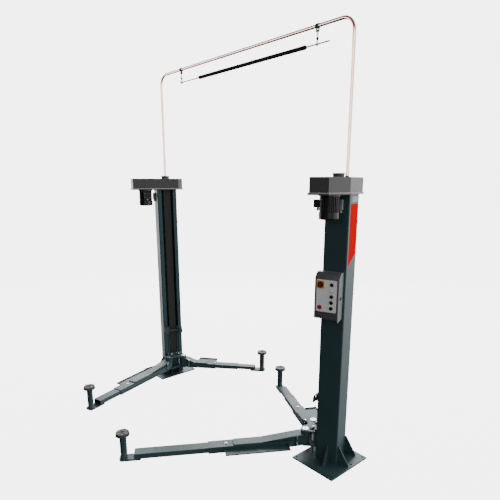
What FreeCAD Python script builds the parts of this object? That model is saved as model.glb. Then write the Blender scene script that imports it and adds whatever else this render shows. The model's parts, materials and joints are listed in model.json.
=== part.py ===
import FreeCAD, Part
import math
import os
from FreeCAD import Vector

# Two post car lift. Millimetres, +Z up. The origin lies on the floor, midway between the two base plates.
# +X runs from the left column to the right one, and -Y is the side that both open column faces turn to.
# Each column has its own frame: +U out of its open face, +V towards the side that carries the motor.

# Layout and section of the two columns
COLUMN_X = 1450.0
COLUMN_Y = 36.0
COLUMN_TURN = 18.6
COLUMN_DEPTH = 217.0
COLUMN_WIDTH = 252.0
COLUMN_WALL = 8.0
COLUMN_FOLD = 12.0
COLUMN_LIP = 51.0
COLUMN_HEIGHT = 2530.0

# Base plates, gussets and floor anchors
PLATE_SHIFT_X = 22.0
PLATE_LENGTH_X = 490.0
PLATE_LENGTH_Y = 542.0
PLATE_THICK = 16.0
ANCHOR_RADIUS = 10.0
ANCHOR_EDGE = 30.0
ANCHOR_MID_X = 31.0
ANCHOR_SIDE_Y = 60.0
GUSSET_THICK = 10.0
GUSSET_HEIGHT = 185.0
GUSSET_REACH = 112.0
GUSSET_TOE = 14.0
SIDE_GUSSET_U = -15.0

# Cover strip in the open face
STRIP_WIDTH = 90.0
STRIP_THICK = 4.0
STRIP_INSET = 12.5

# Lifting spindle
SPINDLE_RADIUS = 25.0
SPINDLE_U = 45.0
SPINDLE_FLANGE_RADIUS = 55.0
SPINDLE_FLANGE_THICK = 22.0
SPINDLE_FOOT_GAP = 24.0

# Head plate and cap on top of each column
HEAD_THICK = 12.0
CAP_HEIGHT = 128.0
CAP_WALL = 4.0
CAP_RIM_OUT = 9.0
CAP_RIM_HEIGHT = 18.0
CAP_OVER_U = 21.5
CAP_SHOULDER = 24.0
CAP_NOSE = 65.0
CAP_NOSE_HALF = 75.0
CAP_END_OVER = 171.0
CAP_END_BACK = 55.0
CAP_BACK_BEND = 69.0
NECK_RADIUS = 50.0
NECK_HEIGHT = 26.0
DISC_RADIUS = 54.0
DISC_HEIGHT = 9.0

# Motor under each head plate
MOTOR_U = 20.0
MOTOR_OUT = 136.0
MOTOR_RADIUS = 80.0
MOTOR_CORE_RADIUS = 72.0
MOTOR_LENGTH = 140.0
MOTOR_FINS = 28
MOTOR_FLANGE_RADIUS = 88.0
MOTOR_FLANGE_THICK = 12.0
FAN_RADIUS = 84.0
FAN_LENGTH = 58.0
FAN_ROUND = 10.0
TERMINAL_WIDTH = 80.0
TERMINAL_REACH = 42.0
TERMINAL_HEIGHT = 65.0
TERMINAL_DROP = 38.0

# Carriage: box body in the column, legs through its mouth, face plate, top bar and guards
BODY_SIDE_GAP = 13.0
BODY_BACK_GAP = 25.5
BODY_STRIP_GAP = 8.0
BODY_WALL = 10.0
CARRIAGE_FOOT = 150.0
CARRIAGE_HEIGHT = 540.0
NUT_THICK = 50.0
SLIDE_PAD_LENGTH = 120.0
SLIDE_PAD_GAP = 2.0
LEG_V = 60.0
LEG_THICK = 14.0
LEG_INSET = 6.0
FACE_GAP = 6.0
FACE_THICK = 14.0
FACE_HALF_V = 104.0
FACE_UPSTAND = 24.0
TOP_BAR_HEIGHT = 26.0
TOP_BAR_THICK = 12.0
TOP_BAR_DROP = 66.0
GUARD_WIDTH = 44.0
GUARD_CLEAR = 5.0
GUARD_BEND = 40.0
GUARD_THICK = 8.0
GUARD_DROP = 86.0

# Fork plates, arm pins and arm locks
FORK_FOOT = 123.0
FORK_THICK = 12.0
FORK_RADIUS = 46.0
FORK_NOTCH_RADIUS = 70.0
FORK_NOTCH_DEPTH = 28.0
PIVOT_OUT = 121.5
PIVOT_V = 100.0
PIN_RADIUS = 18.0
PIN_HEAD_RADIUS = 30.0
PIN_HEAD_THICK = 6.0
PIN_TAIL = 6.0
RUNNING_GAP = 0.1
LOCK_DIRECTION = 218.0
LOCK_INNER = 47.0
LOCK_OUTER = 95.0
LOCK_WIDTH = 32.0
LOCK_THICK = 20.0
LOCK_GAP = 0.3
LOCK_LIFT = 2.0
LOCK_ROD_RADIUS = 6.0
LOCK_ROD_OUT = 80.0
LOCK_KNOB_RADIUS = 9.0
LOCK_KNOB_HEIGHT = 12.0

# Root of every arm, between the fork plates
ROOT_GAP = 1.0
ROOT_HEIGHT = 138.0
BOSS_RADIUS = 40.0
GEAR_ROOT_RADIUS = 46.0
GEAR_TIP_RADIUS = 52.0
GEAR_THICK = 20.0
GEAR_PITCH = 10.0
GEAR_TEETH = 13
GEAR_MIDDLE = 165.0
ROOT_PLATE_THICK = 12.0
ARM_WEB_OUT = 38.0
ARM_WEB_THICK = 10.0
ROOT_ROUND = 55.0
SLOPE_START = 60.0
SLOPE_WIDTH = 110.0
SLOPE_THICK = 10.0
SLOPE_CORNER = 12.0
EAR_X = 95.0
EAR_WIDTH = 24.0
EAR_REACH = 60.0
EAR_FOOT = 54.0
EAR_HEIGHT = 25.0
EAR_ROD_RADIUS = 7.0
EAR_ROD_Y = 50.0
EAR_ROD_BELOW = 40.0
EAR_ROD_ABOVE = 21.0
EAR_HEAD_RADIUS = 11.0
EAR_HEAD_HEIGHT = 8.0

# Tubes of the arms, one inside the other
TUBE_START = 130.0
OUTER_WIDTH = 120.0
OUTER_HEIGHT = 64.0
OUTER_WALL = 6.0
MIDDLE_WALL = 5.0
INNER_WALL = 5.0
SLIDE_GAP = 0.5
LONG_END = 962.0
LONG_BEND = 445.0
LONG_PLATE_BACK = 242.0
LONG_INNER_LENGTH = 830.0
SHORT_END = 470.0
SHORT_BEND = 170.0
SHORT_PLATE_BACK = 120.0
SHORT_MIDDLE_LENGTH = 395.0
SHORT_INNER_LENGTH = 385.0
STOP_LENGTH = 26.0
STOP_WIDTH = 60.0
STOP_DROP = 12.0
STOP_BACK = 8.0

# Foot plate, post and pad at each arm's tip
FOOT_THICK = 18.0
FOOT_WIDTH = 100.0
FOOT_LAP = 60.0
FOOT_AHEAD = 42.0
FOOT_CORNER = 18.0
POST_AHEAD = 96.0
POST_RADIUS = 32.0
POST_TOP = 372.0
POST_BELOW = 10.0
CUP_RADIUS = 65.0
CUP_THICK = 12.0
RUBBER_RADIUS = 61.0
RUBBER_THICK = 20.0
GROOVE_WIDTH = 7.0
GROOVE_DEPTH = 5.0
GROOVES = 3

# Tool trays on the outer side of the arms
TRAY_SHEET = 3.0
TRAY_RISE = 30.0
TRAY_RIM = 16.0
TRAY_FLARE = 6.0
LONG_TRAY_START = 187.0
LONG_TRAY_LENGTH = 621.0
LONG_TRAY_WIDTH = 108.0
SHORT_TRAY_START = 190.0
SHORT_TRAY_LENGTH = 258.0
SHORT_TRAY_WIDTH = 146.0

# Rest pose of the arms: turn from the open direction of the column, then how far each post stands ahead
RIGHT_LONG_TURN = 38.6
RIGHT_LONG_OUT = 786.0
LEFT_LONG_TURN = 53.5
LEFT_LONG_OUT = 405.0
RIGHT_SHORT_TURN = -46.0
RIGHT_MIDDLE_OUT = 310.0
RIGHT_INNER_OUT = 341.0
LEFT_SHORT_TURN = -58.9
LEFT_MIDDLE_OUT = 310.0
LEFT_INNER_OUT = 335.0

# Control box on the motor side of the right column
BOX_LOW_U = -88.0
BOX_WIDTH = 216.0
BOX_DEPTH = 114.0
BOX_FOOT = 1485.0
BOX_HEIGHT = 405.0
BOX_SLOPE = 40.0
BOX_SLOPE_DEPTH = 50.0
BOX_WALL = 3.0
PANEL_SIDE = 15.5
PANEL_FOOT_GAP = 63.0
PANEL_WIDTH = 185.0
PANEL_TOP_GAP = 17.0
PANEL_THICK = 3.0
PANEL_CORNER = 12.0
SWITCH_SIZE = 68.0
SWITCH_THICK = 6.0
SWITCH_SIDE = 4.5
SWITCH_TOP = 9.0
KNOB_RADIUS = 22.0
KNOB_DEPTH = 14.0
HANDLE_WIDTH = 12.0
HANDLE_DEPTH = 14.0
SHAFT_RADIUS = 5.0
SHAFT_GAP = 0.3
KEY_SIDE = 46.0
KEY_TOP_GAP = 40.0
KEY_FOOT_GAP = 37.0
KEY_PLACES = 5
KEY_RADIUS = 13.0
KEY_STEM_RADIUS = 8.0
KEY_STEM_IN = 14.0
KEY_CAP_THICK = 8.0
KEY_TRAVEL = 4.0
KEY_REST_GAP = 0.5
STOP_KEY_SIDE = 34.0
STOP_KEY_RADIUS = 17.0
LAMP_DEPTH = 10.0

# Overhead tube, clamps and stop bar
TUBE_SHIFT_X = 20.0
TUBE_SHIFT_Y = 24.0
TUBE_RADIUS = 15.0
TUBE_WALL = 3.0
TUBE_BEND = 120.0
TUBE_RISE = 1242.0
RIGHT_CLAMP_IN = 383.0
LEFT_CLAMP_IN = 465.0
CLAMP_WIDTH = 30.0
CLAMP_RADIUS = 21.0
BORE_GAP = 0.05
EYE_PIN_RADIUS = 4.0
EYE_DROP = 40.0
EYE_RADIUS = 10.0
STRAP_THICK = 6.0
STRAP_WIDTH = 14.0
ROD_RADIUS = 6.0
ROD_DROP = 140.0
ROD_LEFT_OVER = 26.0
ROD_RIGHT_OVER = 136.0
SLEEVE_LEFT_IN = 362.0
SLEEVE_RIGHT_IN = 133.0
SLEEVE_RADIUS = 18.0

# Places that follow from the sizes above
UP = Vector(0, 0, 1)
ORIGIN = Vector(0, 0, 0)
PAST = 1.0
HALF_DEPTH = COLUMN_DEPTH / 2
HALF_WIDTH = COLUMN_WIDTH / 2
PLATE_X = COLUMN_X + PLATE_SHIFT_X
COLUMN_TOP = PLATE_THICK + COLUMN_HEIGHT
HEAD_TOP = COLUMN_TOP + HEAD_THICK
CAP_TOP = HEAD_TOP + CAP_HEIGHT
MOTOR_V = HALF_WIDTH + MOTOR_OUT
STRIP_BACK_U = HALF_DEPTH - STRIP_INSET - STRIP_THICK
CARRIAGE_TOP = CARRIAGE_FOOT + CARRIAGE_HEIGHT
FACE_U = HALF_DEPTH + FACE_GAP
GUARD_V = HALF_WIDTH - GUARD_CLEAR - GUARD_WIDTH / 2
PIVOT_U = HALF_DEPTH + PIVOT_OUT
ROOT_LOW = FORK_FOOT + FORK_THICK + ROOT_GAP
ROOT_TOP = ROOT_LOW + ROOT_HEIGHT
FORK_HIGH = ROOT_TOP + ROOT_GAP
FORK_TOP = FORK_HIGH + FORK_THICK
TUBE_TOP = ROOT_LOW + OUTER_HEIGHT
BOX_FRONT = HALF_WIDTH + BOX_DEPTH
PANEL_FRONT = BOX_FRONT + PANEL_THICK
PANEL_HEIGHT = BOX_HEIGHT - BOX_SLOPE - PANEL_FOOT_GAP - PANEL_TOP_GAP
KEY_PITCH = (PANEL_HEIGHT - KEY_TOP_GAP - KEY_FOOT_GAP) / (KEY_PLACES - 1)
OVER_X = COLUMN_X + TUBE_SHIFT_X
OVER_Y = COLUMN_Y + TUBE_SHIFT_Y
OVER_Z = CAP_TOP + TUBE_RISE


def block(low, high):
    size = high - low
    return Part.makeBox(size.x, size.y, size.z, low)


def rod(radius, start, end):
    way = end - start
    return Part.makeCylinder(radius, way.Length, start, way)


def post(radius, x, y, low, high):
    """An upright round bar."""
    return rod(radius, Vector(x, y, low), Vector(x, y, high))


def prism(outline, low, high):
    """A plan outline drawn up from low to high."""
    corners = [Vector(x, y, low) for x, y in outline]
    face = Part.Face(Part.makePolygon(corners + corners[:1]))
    return face.extrude(Vector(0, 0, high - low))


def side_profile(outline, low_y, high_y):
    """An outline of X and Z, drawn across from low_y to high_y."""
    corners = [Vector(x, low_y, z) for x, z in outline]
    face = Part.Face(Part.makePolygon(corners + corners[:1]))
    return face.extrude(Vector(0, high_y - low_y, 0))


def rounded_block(low, high, radius):
    """A block whose upright edges are rounded."""
    solid = block(low, high)
    upright = [edge for edge in solid.Edges if abs(edge.tangentAt(edge.FirstParameter).z) > 0.5]
    return solid.makeFillet(radius, upright)


def box_tube(start, end, low, width, height, wall):
    """A rectangular tube along X, centred on the arm's axis, with its underside at low."""
    outside = block(Vector(start, -width / 2, low), Vector(end, width / 2, low + height))
    half = width / 2 - wall
    inside = block(Vector(start - PAST, -half, low + wall), Vector(end + PAST, half, low + height - wall))
    return outside.cut(inside)


def seat(shape, side):
    """Carries a shape from the column's own frame to its place beside the bay."""
    placed = shape.copy()
    placed.rotate(ORIGIN, UP, 180 + COLUMN_TURN)
    placed.translate(Vector(COLUMN_X, COLUMN_Y, 0))
    return mirror_left(placed, side)


def mirror_left(shape, side):
    if side == "left":
        return shape.mirror(ORIGIN, Vector(1, 0, 0))
    return shape


def seat_arm(shape, turn, hand, side):
    """Carries an arm from its own frame, with the pin at the origin and +X along its tubes, to its pin."""
    placed = shape.copy()
    if hand < 0:
        placed = placed.mirror(ORIGIN, Vector(0, 1, 0))
    placed.rotate(ORIGIN, UP, turn)
    placed.translate(Vector(PIVOT_U, hand * PIVOT_V, 0))
    return seat(placed, side)


def one_solid(shape):
    """The single solid of a joined shape, with split faces merged."""
    return shape.removeSplitter().Solids[0]


def polar(radius, angle):
    turn = math.radians(angle)
    return (radius * math.cos(turn), radius * math.sin(turn))


def anchor_places():
    """Centres of the floor anchors, from the middle of the base plate."""
    hole_x = PLATE_LENGTH_X / 2 - ANCHOR_EDGE
    hole_y = PLATE_LENGTH_Y / 2 - ANCHOR_EDGE
    places = [(x, y) for x in (-hole_x, ANCHOR_MID_X, hole_x) for y in (-hole_y, hole_y)]
    return places + [(-hole_x, ANCHOR_SIDE_Y), (hole_x, ANCHOR_SIDE_Y)]


def gusset():
    """One triangular rib that stands on +X of its own origin, against the column."""
    top = PLATE_THICK + GUSSET_HEIGHT
    outline = [(0, PLATE_THICK), (GUSSET_REACH, PLATE_THICK), (GUSSET_REACH, PLATE_THICK + GUSSET_TOE)]
    outline += [(GUSSET_TOE, top), (0, top)]
    return side_profile(outline, -GUSSET_THICK / 2, GUSSET_THICK / 2)


def gusset_places():
    """Foot and turn of each rib: two behind the column just inside its folds, one on its motor side."""
    rib_v = HALF_WIDTH - COLUMN_FOLD - GUSSET_THICK / 2
    return [(-HALF_DEPTH, rib_v, 180), (-HALF_DEPTH, -rib_v, 180), (SIDE_GUSSET_U, HALF_WIDTH, 90)]


def base_plate(side):
    """Floor plate with its anchor holes and the ribs welded to it."""
    half_x = PLATE_LENGTH_X / 2
    half_y = PLATE_LENGTH_Y / 2
    plate = block(Vector(PLATE_X - half_x, -half_y, 0), Vector(PLATE_X + half_x, half_y, PLATE_THICK))
    for x, y in anchor_places():
        plate = plate.cut(post(ANCHOR_RADIUS, PLATE_X + x, y, -PAST, PLATE_THICK + PAST))
    for u, v, turn in gusset_places():
        rib = gusset()
        rib.rotate(ORIGIN, UP, turn)
        rib.translate(Vector(u, v, 0))
        plate = plate.fuse(seat(rib, "right"))
    return mirror_left(one_solid(plate), side)


def column(side):
    """Folded C section with rounded folds and two lips at its mouth."""
    outside = rounded_block(
        Vector(-HALF_DEPTH, -HALF_WIDTH, PLATE_THICK), Vector(HALF_DEPTH, HALF_WIDTH, COLUMN_TOP), COLUMN_FOLD)
    inner_u = HALF_DEPTH - COLUMN_WALL
    inner_v = HALF_WIDTH - COLUMN_WALL
    inside = rounded_block(
        Vector(-inner_u, -inner_v, PLATE_THICK - PAST), Vector(inner_u, inner_v, COLUMN_TOP + PAST),
        COLUMN_FOLD - COLUMN_WALL)
    mouth = HALF_WIDTH - COLUMN_LIP
    slot = block(Vector(0, -mouth, PLATE_THICK - PAST), Vector(HALF_DEPTH + PAST, mouth, COLUMN_TOP + PAST))
    return seat(outside.cut(inside).cut(slot), side)


def cover_strip(side):
    low = Vector(STRIP_BACK_U, -STRIP_WIDTH / 2, PLATE_THICK)
    high = Vector(STRIP_BACK_U + STRIP_THICK, STRIP_WIDTH / 2, COLUMN_TOP)
    return seat(block(low, high), side)


def spindle(side):
    screw = post(SPINDLE_RADIUS, SPINDLE_U, 0, PLATE_THICK + SPINDLE_FOOT_GAP, HEAD_TOP)
    flange = post(SPINDLE_FLANGE_RADIUS, SPINDLE_U, 0, HEAD_TOP, HEAD_TOP + SPINDLE_FLANGE_THICK)
    return seat(one_solid(screw.fuse(flange)), side)


def cap_layer(offset, low, high):
    """A slice of the cap's plan, moved outwards by offset."""
    side_u = HALF_DEPTH + CAP_OVER_U
    shoulder = -HALF_WIDTH - CAP_SHOULDER
    nose = shoulder - CAP_NOSE
    end = MOTOR_V + CAP_END_OVER
    outline = [(-CAP_NOSE_HALF, nose), (CAP_NOSE_HALF, nose), (side_u, shoulder)]
    outline += [(side_u, end), (MOTOR_U - CAP_END_BACK, end), (-side_u, HALF_WIDTH + CAP_BACK_BEND)]
    outline.append((-side_u, shoulder))
    corners = [Vector(u, v, low) for u, v in outline]
    wire = Part.makePolygon(corners + corners[:1])
    if offset != 0:
        wire = wire.makeOffset2D(offset, 2)
    return Part.Face(wire).extrude(Vector(0, 0, high - low))


def head_plate(side):
    plate = cap_layer(-CAP_WALL, COLUMN_TOP, HEAD_TOP)
    return seat(plate.cut(post(SPINDLE_RADIUS, SPINDLE_U, 0, COLUMN_TOP - PAST, HEAD_TOP + PAST)), side)


def cap(side):
    """The belt housing: a lid over the head plate, with a rim round its foot and a bearing cover on top."""
    lid = cap_layer(0, COLUMN_TOP, CAP_TOP)
    lid = lid.fuse(cap_layer(CAP_RIM_OUT, COLUMN_TOP, COLUMN_TOP + CAP_RIM_HEIGHT))
    neck_top = CAP_TOP + NECK_HEIGHT
    lid = lid.fuse(post(NECK_RADIUS, SPINDLE_U, 0, CAP_TOP, neck_top))
    lid = lid.fuse(post(DISC_RADIUS, SPINDLE_U, 0, neck_top, neck_top + DISC_HEIGHT))
    hollow = cap_layer(-CAP_WALL, COLUMN_TOP, CAP_TOP - CAP_WALL)
    return seat(one_solid(lid.cut(hollow)), side)


def finned_body(low, high):
    """Motor housing with upright cooling fins all round."""
    step = 360.0 / MOTOR_FINS
    outline = []
    for fin in range(MOTOR_FINS):
        middle = fin * step
        outline.append(polar(MOTOR_CORE_RADIUS, middle - step * 0.3))
        outline.append(polar(MOTOR_RADIUS, middle - step * 0.16))
        outline.append(polar(MOTOR_RADIUS, middle + step * 0.16))
        outline.append(polar(MOTOR_CORE_RADIUS, middle + step * 0.3))
    body = prism(outline, low, high)
    body.translate(Vector(MOTOR_U, MOTOR_V, 0))
    return body


def motor(side):
    """Motor hung under the head plate: flange, finned body, round-edged fan cover and terminal box."""
    flange_foot = COLUMN_TOP - MOTOR_FLANGE_THICK
    foot = COLUMN_TOP - MOTOR_LENGTH
    body = finned_body(foot, flange_foot)
    body = body.fuse(post(MOTOR_FLANGE_RADIUS, MOTOR_U, MOTOR_V, flange_foot, COLUMN_TOP))
    cover = post(FAN_RADIUS, MOTOR_U, MOTOR_V, foot - FAN_LENGTH, foot)
    lower = [edge for edge in cover.Edges if edge.BoundBox.ZMax < foot - FAN_LENGTH + PAST]
    body = body.fuse(cover.makeFillet(FAN_ROUND, lower))
    top = COLUMN_TOP - TERMINAL_DROP
    low = Vector(MOTOR_U, MOTOR_V - TERMINAL_WIDTH / 2, top - TERMINAL_HEIGHT)
    high = Vector(MOTOR_U + MOTOR_RADIUS + TERMINAL_REACH, MOTOR_V + TERMINAL_WIDTH / 2, top)
    return seat(one_solid(body.fuse(block(low, high))), side)


def toothed_disc(middle, low, high):
    """A disc about the pin with lock teeth over the part of its rim that lies around middle."""
    span = GEAR_TEETH * GEAR_PITCH
    start = middle - span / 2
    points = []
    for tooth in range(GEAR_TEETH):
        foot = start + tooth * GEAR_PITCH
        points.append(polar(GEAR_ROOT_RADIUS, foot))
        points.append(polar(GEAR_ROOT_RADIUS, foot + GEAR_PITCH * 0.25))
        points.append(polar(GEAR_TIP_RADIUS, foot + GEAR_PITCH * 0.45))
        points.append(polar(GEAR_TIP_RADIUS, foot + GEAR_PITCH * 0.8))
    points.append(polar(GEAR_ROOT_RADIUS, start + span))
    corners = [Vector(x, y, low) for x, y in points]
    far_x, far_y = polar(GEAR_ROOT_RADIUS, middle + 180)
    rim = Part.Arc(corners[-1], Vector(far_x, far_y, low), corners[0]).toShape()
    wire = Part.Wire([Part.makePolygon(corners), rim])
    return Part.Face(wire).extrude(Vector(0, 0, high - low))


def lock_direction(hand):
    """Direction from a pin to the lock behind it."""
    return LOCK_DIRECTION if hand > 0 else -LOCK_DIRECTION


def lock_window(hand, gap, low, high):
    """The upright block that a lock slides as, or its window, behind one of the two pins."""
    half = LOCK_WIDTH / 2 + gap
    solid = block(Vector(LOCK_INNER - gap, -half, low), Vector(LOCK_OUTER + gap, half, high))
    solid.rotate(ORIGIN, UP, lock_direction(hand))
    solid.translate(Vector(PIVOT_U, hand * PIVOT_V, 0))
    return solid


def lock_rod(hand, radius, low, high):
    x, y = polar(LOCK_ROD_OUT, lock_direction(hand))
    return post(radius, PIVOT_U + x, hand * PIVOT_V + y, low, high)


def fork_plate(low):
    """Plate over or under both arm roots: a round lobe about each pin and a hollow front between them."""
    tip = PIVOT_U + FORK_RADIUS
    outline = [(FACE_U, -FACE_HALF_V), (PIVOT_U, -PIVOT_V - FORK_RADIUS), (tip, -PIVOT_V)]
    outline += [(tip, PIVOT_V), (PIVOT_U, PIVOT_V + FORK_RADIUS), (FACE_U, FACE_HALF_V)]
    high = low + FORK_THICK
    plate = prism(outline, low, high)
    for hand in (-1, 1):
        plate = plate.fuse(post(FORK_RADIUS, PIVOT_U, hand * PIVOT_V, low, high))
    notch_u = tip - FORK_NOTCH_DEPTH + FORK_NOTCH_RADIUS
    plate = plate.cut(post(FORK_NOTCH_RADIUS, notch_u, 0, low - PAST, high + PAST))
    for hand in (-1, 1):
        plate = plate.cut(post(PIN_RADIUS, PIVOT_U, hand * PIVOT_V, low - PAST, high + PAST))
    return plate


def guard(hand):
    """Bent strip that stands off the carriage's top corner: over from the block, round the bend and down."""
    inner = GUARD_BEND - GUARD_THICK
    top = CARRIAGE_TOP
    low_v = hand * GUARD_V - GUARD_WIDTH / 2
    centre_z = top - GUARD_BEND
    across = Vector(0, GUARD_WIDTH, 0)
    start = Vector(FACE_U, low_v, centre_z)
    ring = Part.makeCylinder(GUARD_BEND, GUARD_WIDTH, start, across)
    ring = ring.cut(Part.makeCylinder(inner, GUARD_WIDTH, start, across))
    quarter = ring.common(block(start, Vector(FACE_U + GUARD_BEND, low_v + GUARD_WIDTH, top)))
    drop_low = Vector(FACE_U + inner, low_v, top - GUARD_DROP)
    return quarter.fuse(block(drop_low, Vector(FACE_U + GUARD_BEND, low_v + GUARD_WIDTH, centre_z)))


def carriage(side):
    """Box body inside the column with its slide pads, two legs through the mouth and all that they carry."""
    inner_v = HALF_WIDTH - COLUMN_WALL
    half_v = inner_v - BODY_SIDE_GAP
    back = BODY_BACK_GAP + COLUMN_WALL - HALF_DEPTH
    front = STRIP_BACK_U - BODY_STRIP_GAP
    body = block(Vector(back, -half_v, CARRIAGE_FOOT), Vector(front, half_v, CARRIAGE_TOP))
    low = Vector(back + BODY_WALL, BODY_WALL - half_v, CARRIAGE_FOOT - PAST)
    high = Vector(front - BODY_WALL, half_v - BODY_WALL, CARRIAGE_TOP - NUT_THICK)
    body = body.cut(block(low, high))
    body = body.cut(post(SPINDLE_RADIUS + SLIDE_GAP, SPINDLE_U, 0, CARRIAGE_FOOT, CARRIAGE_TOP + PAST))
    pad_v = inner_v - SLIDE_PAD_GAP
    face_top = FORK_TOP + FACE_UPSTAND
    bar_top = CARRIAGE_TOP - TOP_BAR_DROP + TOP_BAR_HEIGHT
    for hand in (-1, 1):
        for pad_low in (CARRIAGE_FOOT, CARRIAGE_TOP - SLIDE_PAD_LENGTH):
            sides = sorted((hand * (half_v - PAST), hand * pad_v))
            pad = block(Vector(back, sides[0], pad_low), Vector(front, sides[1], pad_low + SLIDE_PAD_LENGTH))
            body = body.fuse(pad)
        near_v = hand * LEG_V - LEG_THICK / 2
        far_v = near_v + LEG_THICK
        leg_back = HALF_DEPTH - LEG_INSET
        leg = block(Vector(front - PAST, near_v, CARRIAGE_FOOT), Vector(leg_back, far_v, CARRIAGE_TOP))
        body = body.fuse(leg)
        for tab_low, tab_high in ((CARRIAGE_FOOT, face_top), (CARRIAGE_TOP - TOP_BAR_DROP, CARRIAGE_TOP)):
            body = body.fuse(block(Vector(front, near_v, tab_low), Vector(FACE_U + PAST, far_v, tab_high)))
        sides = sorted((hand * (LEG_V - LEG_THICK / 2), hand * (GUARD_V + GUARD_WIDTH / 2)))
        corner_high = Vector(FACE_U + TOP_BAR_THICK, sides[1], CARRIAGE_TOP)
        body = body.fuse(block(Vector(FACE_U, sides[0], CARRIAGE_TOP - TOP_BAR_DROP), corner_high))
        body = body.fuse(guard(hand))
    bar_low = Vector(FACE_U, -GUARD_V, CARRIAGE_TOP - TOP_BAR_DROP)
    body = body.fuse(block(bar_low, Vector(FACE_U + TOP_BAR_THICK, GUARD_V, bar_top)))
    face_high = Vector(FACE_U + FACE_THICK, FACE_HALF_V, face_top)
    body = body.fuse(block(Vector(FACE_U, -FACE_HALF_V, FORK_FOOT), face_high))
    upper = fork_plate(FORK_HIGH)
    lower = fork_plate(FORK_FOOT)
    for hand in (-1, 1):
        upper = upper.cut(lock_window(hand, LOCK_GAP, FORK_HIGH - PAST, FORK_TOP + PAST))
        lower = lower.cut(lock_rod(hand, LOCK_ROD_RADIUS + LOCK_GAP, FORK_FOOT - PAST, ROOT_LOW))
    return seat(one_solid(body.fuse(upper).fuse(lower)), side)


def arm_pins(side):
    """The two pins that the arms swing on, each with a flat head on the upper fork plate."""
    pins = []
    for hand in (-1, 1):
        shank = post(PIN_RADIUS, PIVOT_U, hand * PIVOT_V, FORK_FOOT - PIN_TAIL, FORK_TOP)
        head = post(PIN_HEAD_RADIUS, PIVOT_U, hand * PIVOT_V, FORK_TOP, FORK_TOP + PIN_HEAD_THICK)
        pins.append(seat(one_solid(shank.fuse(head)), side))
    return Part.makeCompound(pins)


def arm_locks(side):
    """The two lock blocks in their windows, lifted clear of the teeth as they are with the carriage down."""
    locks = []
    low = ROOT_TOP + LOCK_LIFT
    for hand in (-1, 1):
        teeth = toothed_disc(lock_direction(hand), low - PAST, low + LOCK_THICK + PAST)
        teeth.translate(Vector(PIVOT_U, hand * PIVOT_V, 0))
        lock = lock_window(hand, 0, low, low + LOCK_THICK).cut(teeth)
        lock = lock.fuse(lock_rod(hand, LOCK_ROD_RADIUS, PLATE_THICK + LOCK_LIFT, low))
        knob_foot = low + LOCK_THICK
        lock = lock.fuse(lock_rod(hand, LOCK_KNOB_RADIUS, knob_foot, knob_foot + LOCK_KNOB_HEIGHT))
        locks.append(seat(one_solid(lock), side))
    return Part.makeCompound(locks)


def slope_plate(bend, end):
    """Plate that lies on the outer tube, slopes up to the root from its bend and ends round at the pin."""
    root_z = ROOT_TOP - GEAR_THICK
    top_z = TUBE_TOP + SLOPE_THICK
    outline = [(-ROOT_ROUND, root_z), (SLOPE_START, root_z), (bend, top_z), (end, top_z)]
    outline += [(end, TUBE_TOP), (bend, TUBE_TOP), (SLOPE_START, root_z - SLOPE_THICK)]
    outline.append((-ROOT_ROUND, root_z - SLOPE_THICK))
    half = SLOPE_WIDTH / 2
    plan = [(0, -half), (end - SLOPE_CORNER, -half), (end, SLOPE_CORNER - half), (end, half - SLOPE_CORNER)]
    plan += [(end - SLOPE_CORNER, half), (0, half)]
    shape = prism(plan, ROOT_LOW, ROOT_TOP).fuse(post(ROOT_ROUND, 0, 0, ROOT_LOW, ROOT_TOP))
    return side_profile(outline, -half, half).common(shape)


def root_ear(hand):
    """Small ear on the side of the root with the pull bar that stands in it."""
    low_z = ROOT_LOW + EAR_FOOT
    sides = sorted((hand * (ARM_WEB_OUT - PAST), hand * EAR_REACH))
    low = Vector(EAR_X - EAR_WIDTH / 2, sides[0], low_z)
    ear = block(low, Vector(EAR_X + EAR_WIDTH / 2, sides[1], low_z + EAR_HEIGHT))
    bar_top = low_z + EAR_HEIGHT + EAR_ROD_ABOVE
    ear = ear.fuse(post(EAR_ROD_RADIUS, EAR_X, hand * EAR_ROD_Y, low_z - EAR_ROD_BELOW, bar_top))
    return ear.fuse(post(EAR_HEAD_RADIUS, EAR_X, hand * EAR_ROD_Y, bar_top, bar_top + EAR_HEAD_HEIGHT))


def outer_stage(bend, plate_end, end):
    """First stage of an arm: bored boss with lock teeth, two webs, flat tube and the cranked plate on it."""
    root_z = ROOT_TOP - GEAR_THICK
    arm = post(BOSS_RADIUS, 0, 0, ROOT_LOW, root_z).fuse(toothed_disc(GEAR_MIDDLE, root_z, ROOT_TOP))
    half = OUTER_WIDTH / 2
    foot = [(0, -BOSS_RADIUS), (TUBE_START, -half), (TUBE_START, half), (0, BOSS_RADIUS)]
    arm = arm.fuse(prism(foot, ROOT_LOW, ROOT_LOW + ROOT_PLATE_THICK))
    under_z = root_z - SLOPE_THICK
    web = [(0, ROOT_LOW), (TUBE_START, ROOT_LOW), (TUBE_START, TUBE_TOP), (bend, TUBE_TOP)]
    web.append((SLOPE_START, under_z))
    web.append((0, under_z))
    for hand in (-1, 1):
        sides = sorted((hand * (ARM_WEB_OUT - ARM_WEB_THICK), hand * ARM_WEB_OUT))
        arm = arm.fuse(side_profile(web, sides[0], sides[1])).fuse(root_ear(hand))
    arm = arm.fuse(box_tube(TUBE_START, end, ROOT_LOW, OUTER_WIDTH, OUTER_HEIGHT, OUTER_WALL))
    arm = arm.fuse(slope_plate(bend, plate_end))
    stop_end = end - STOP_BACK
    stop_low = Vector(stop_end - STOP_LENGTH, -STOP_WIDTH / 2, ROOT_LOW - STOP_DROP)
    arm = arm.fuse(block(stop_low, Vector(stop_end, STOP_WIDTH / 2, ROOT_LOW)))
    return one_solid(arm.cut(post(PIN_RADIUS + RUNNING_GAP, 0, 0, ROOT_LOW - PAST, ROOT_TOP + PAST)))


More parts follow.
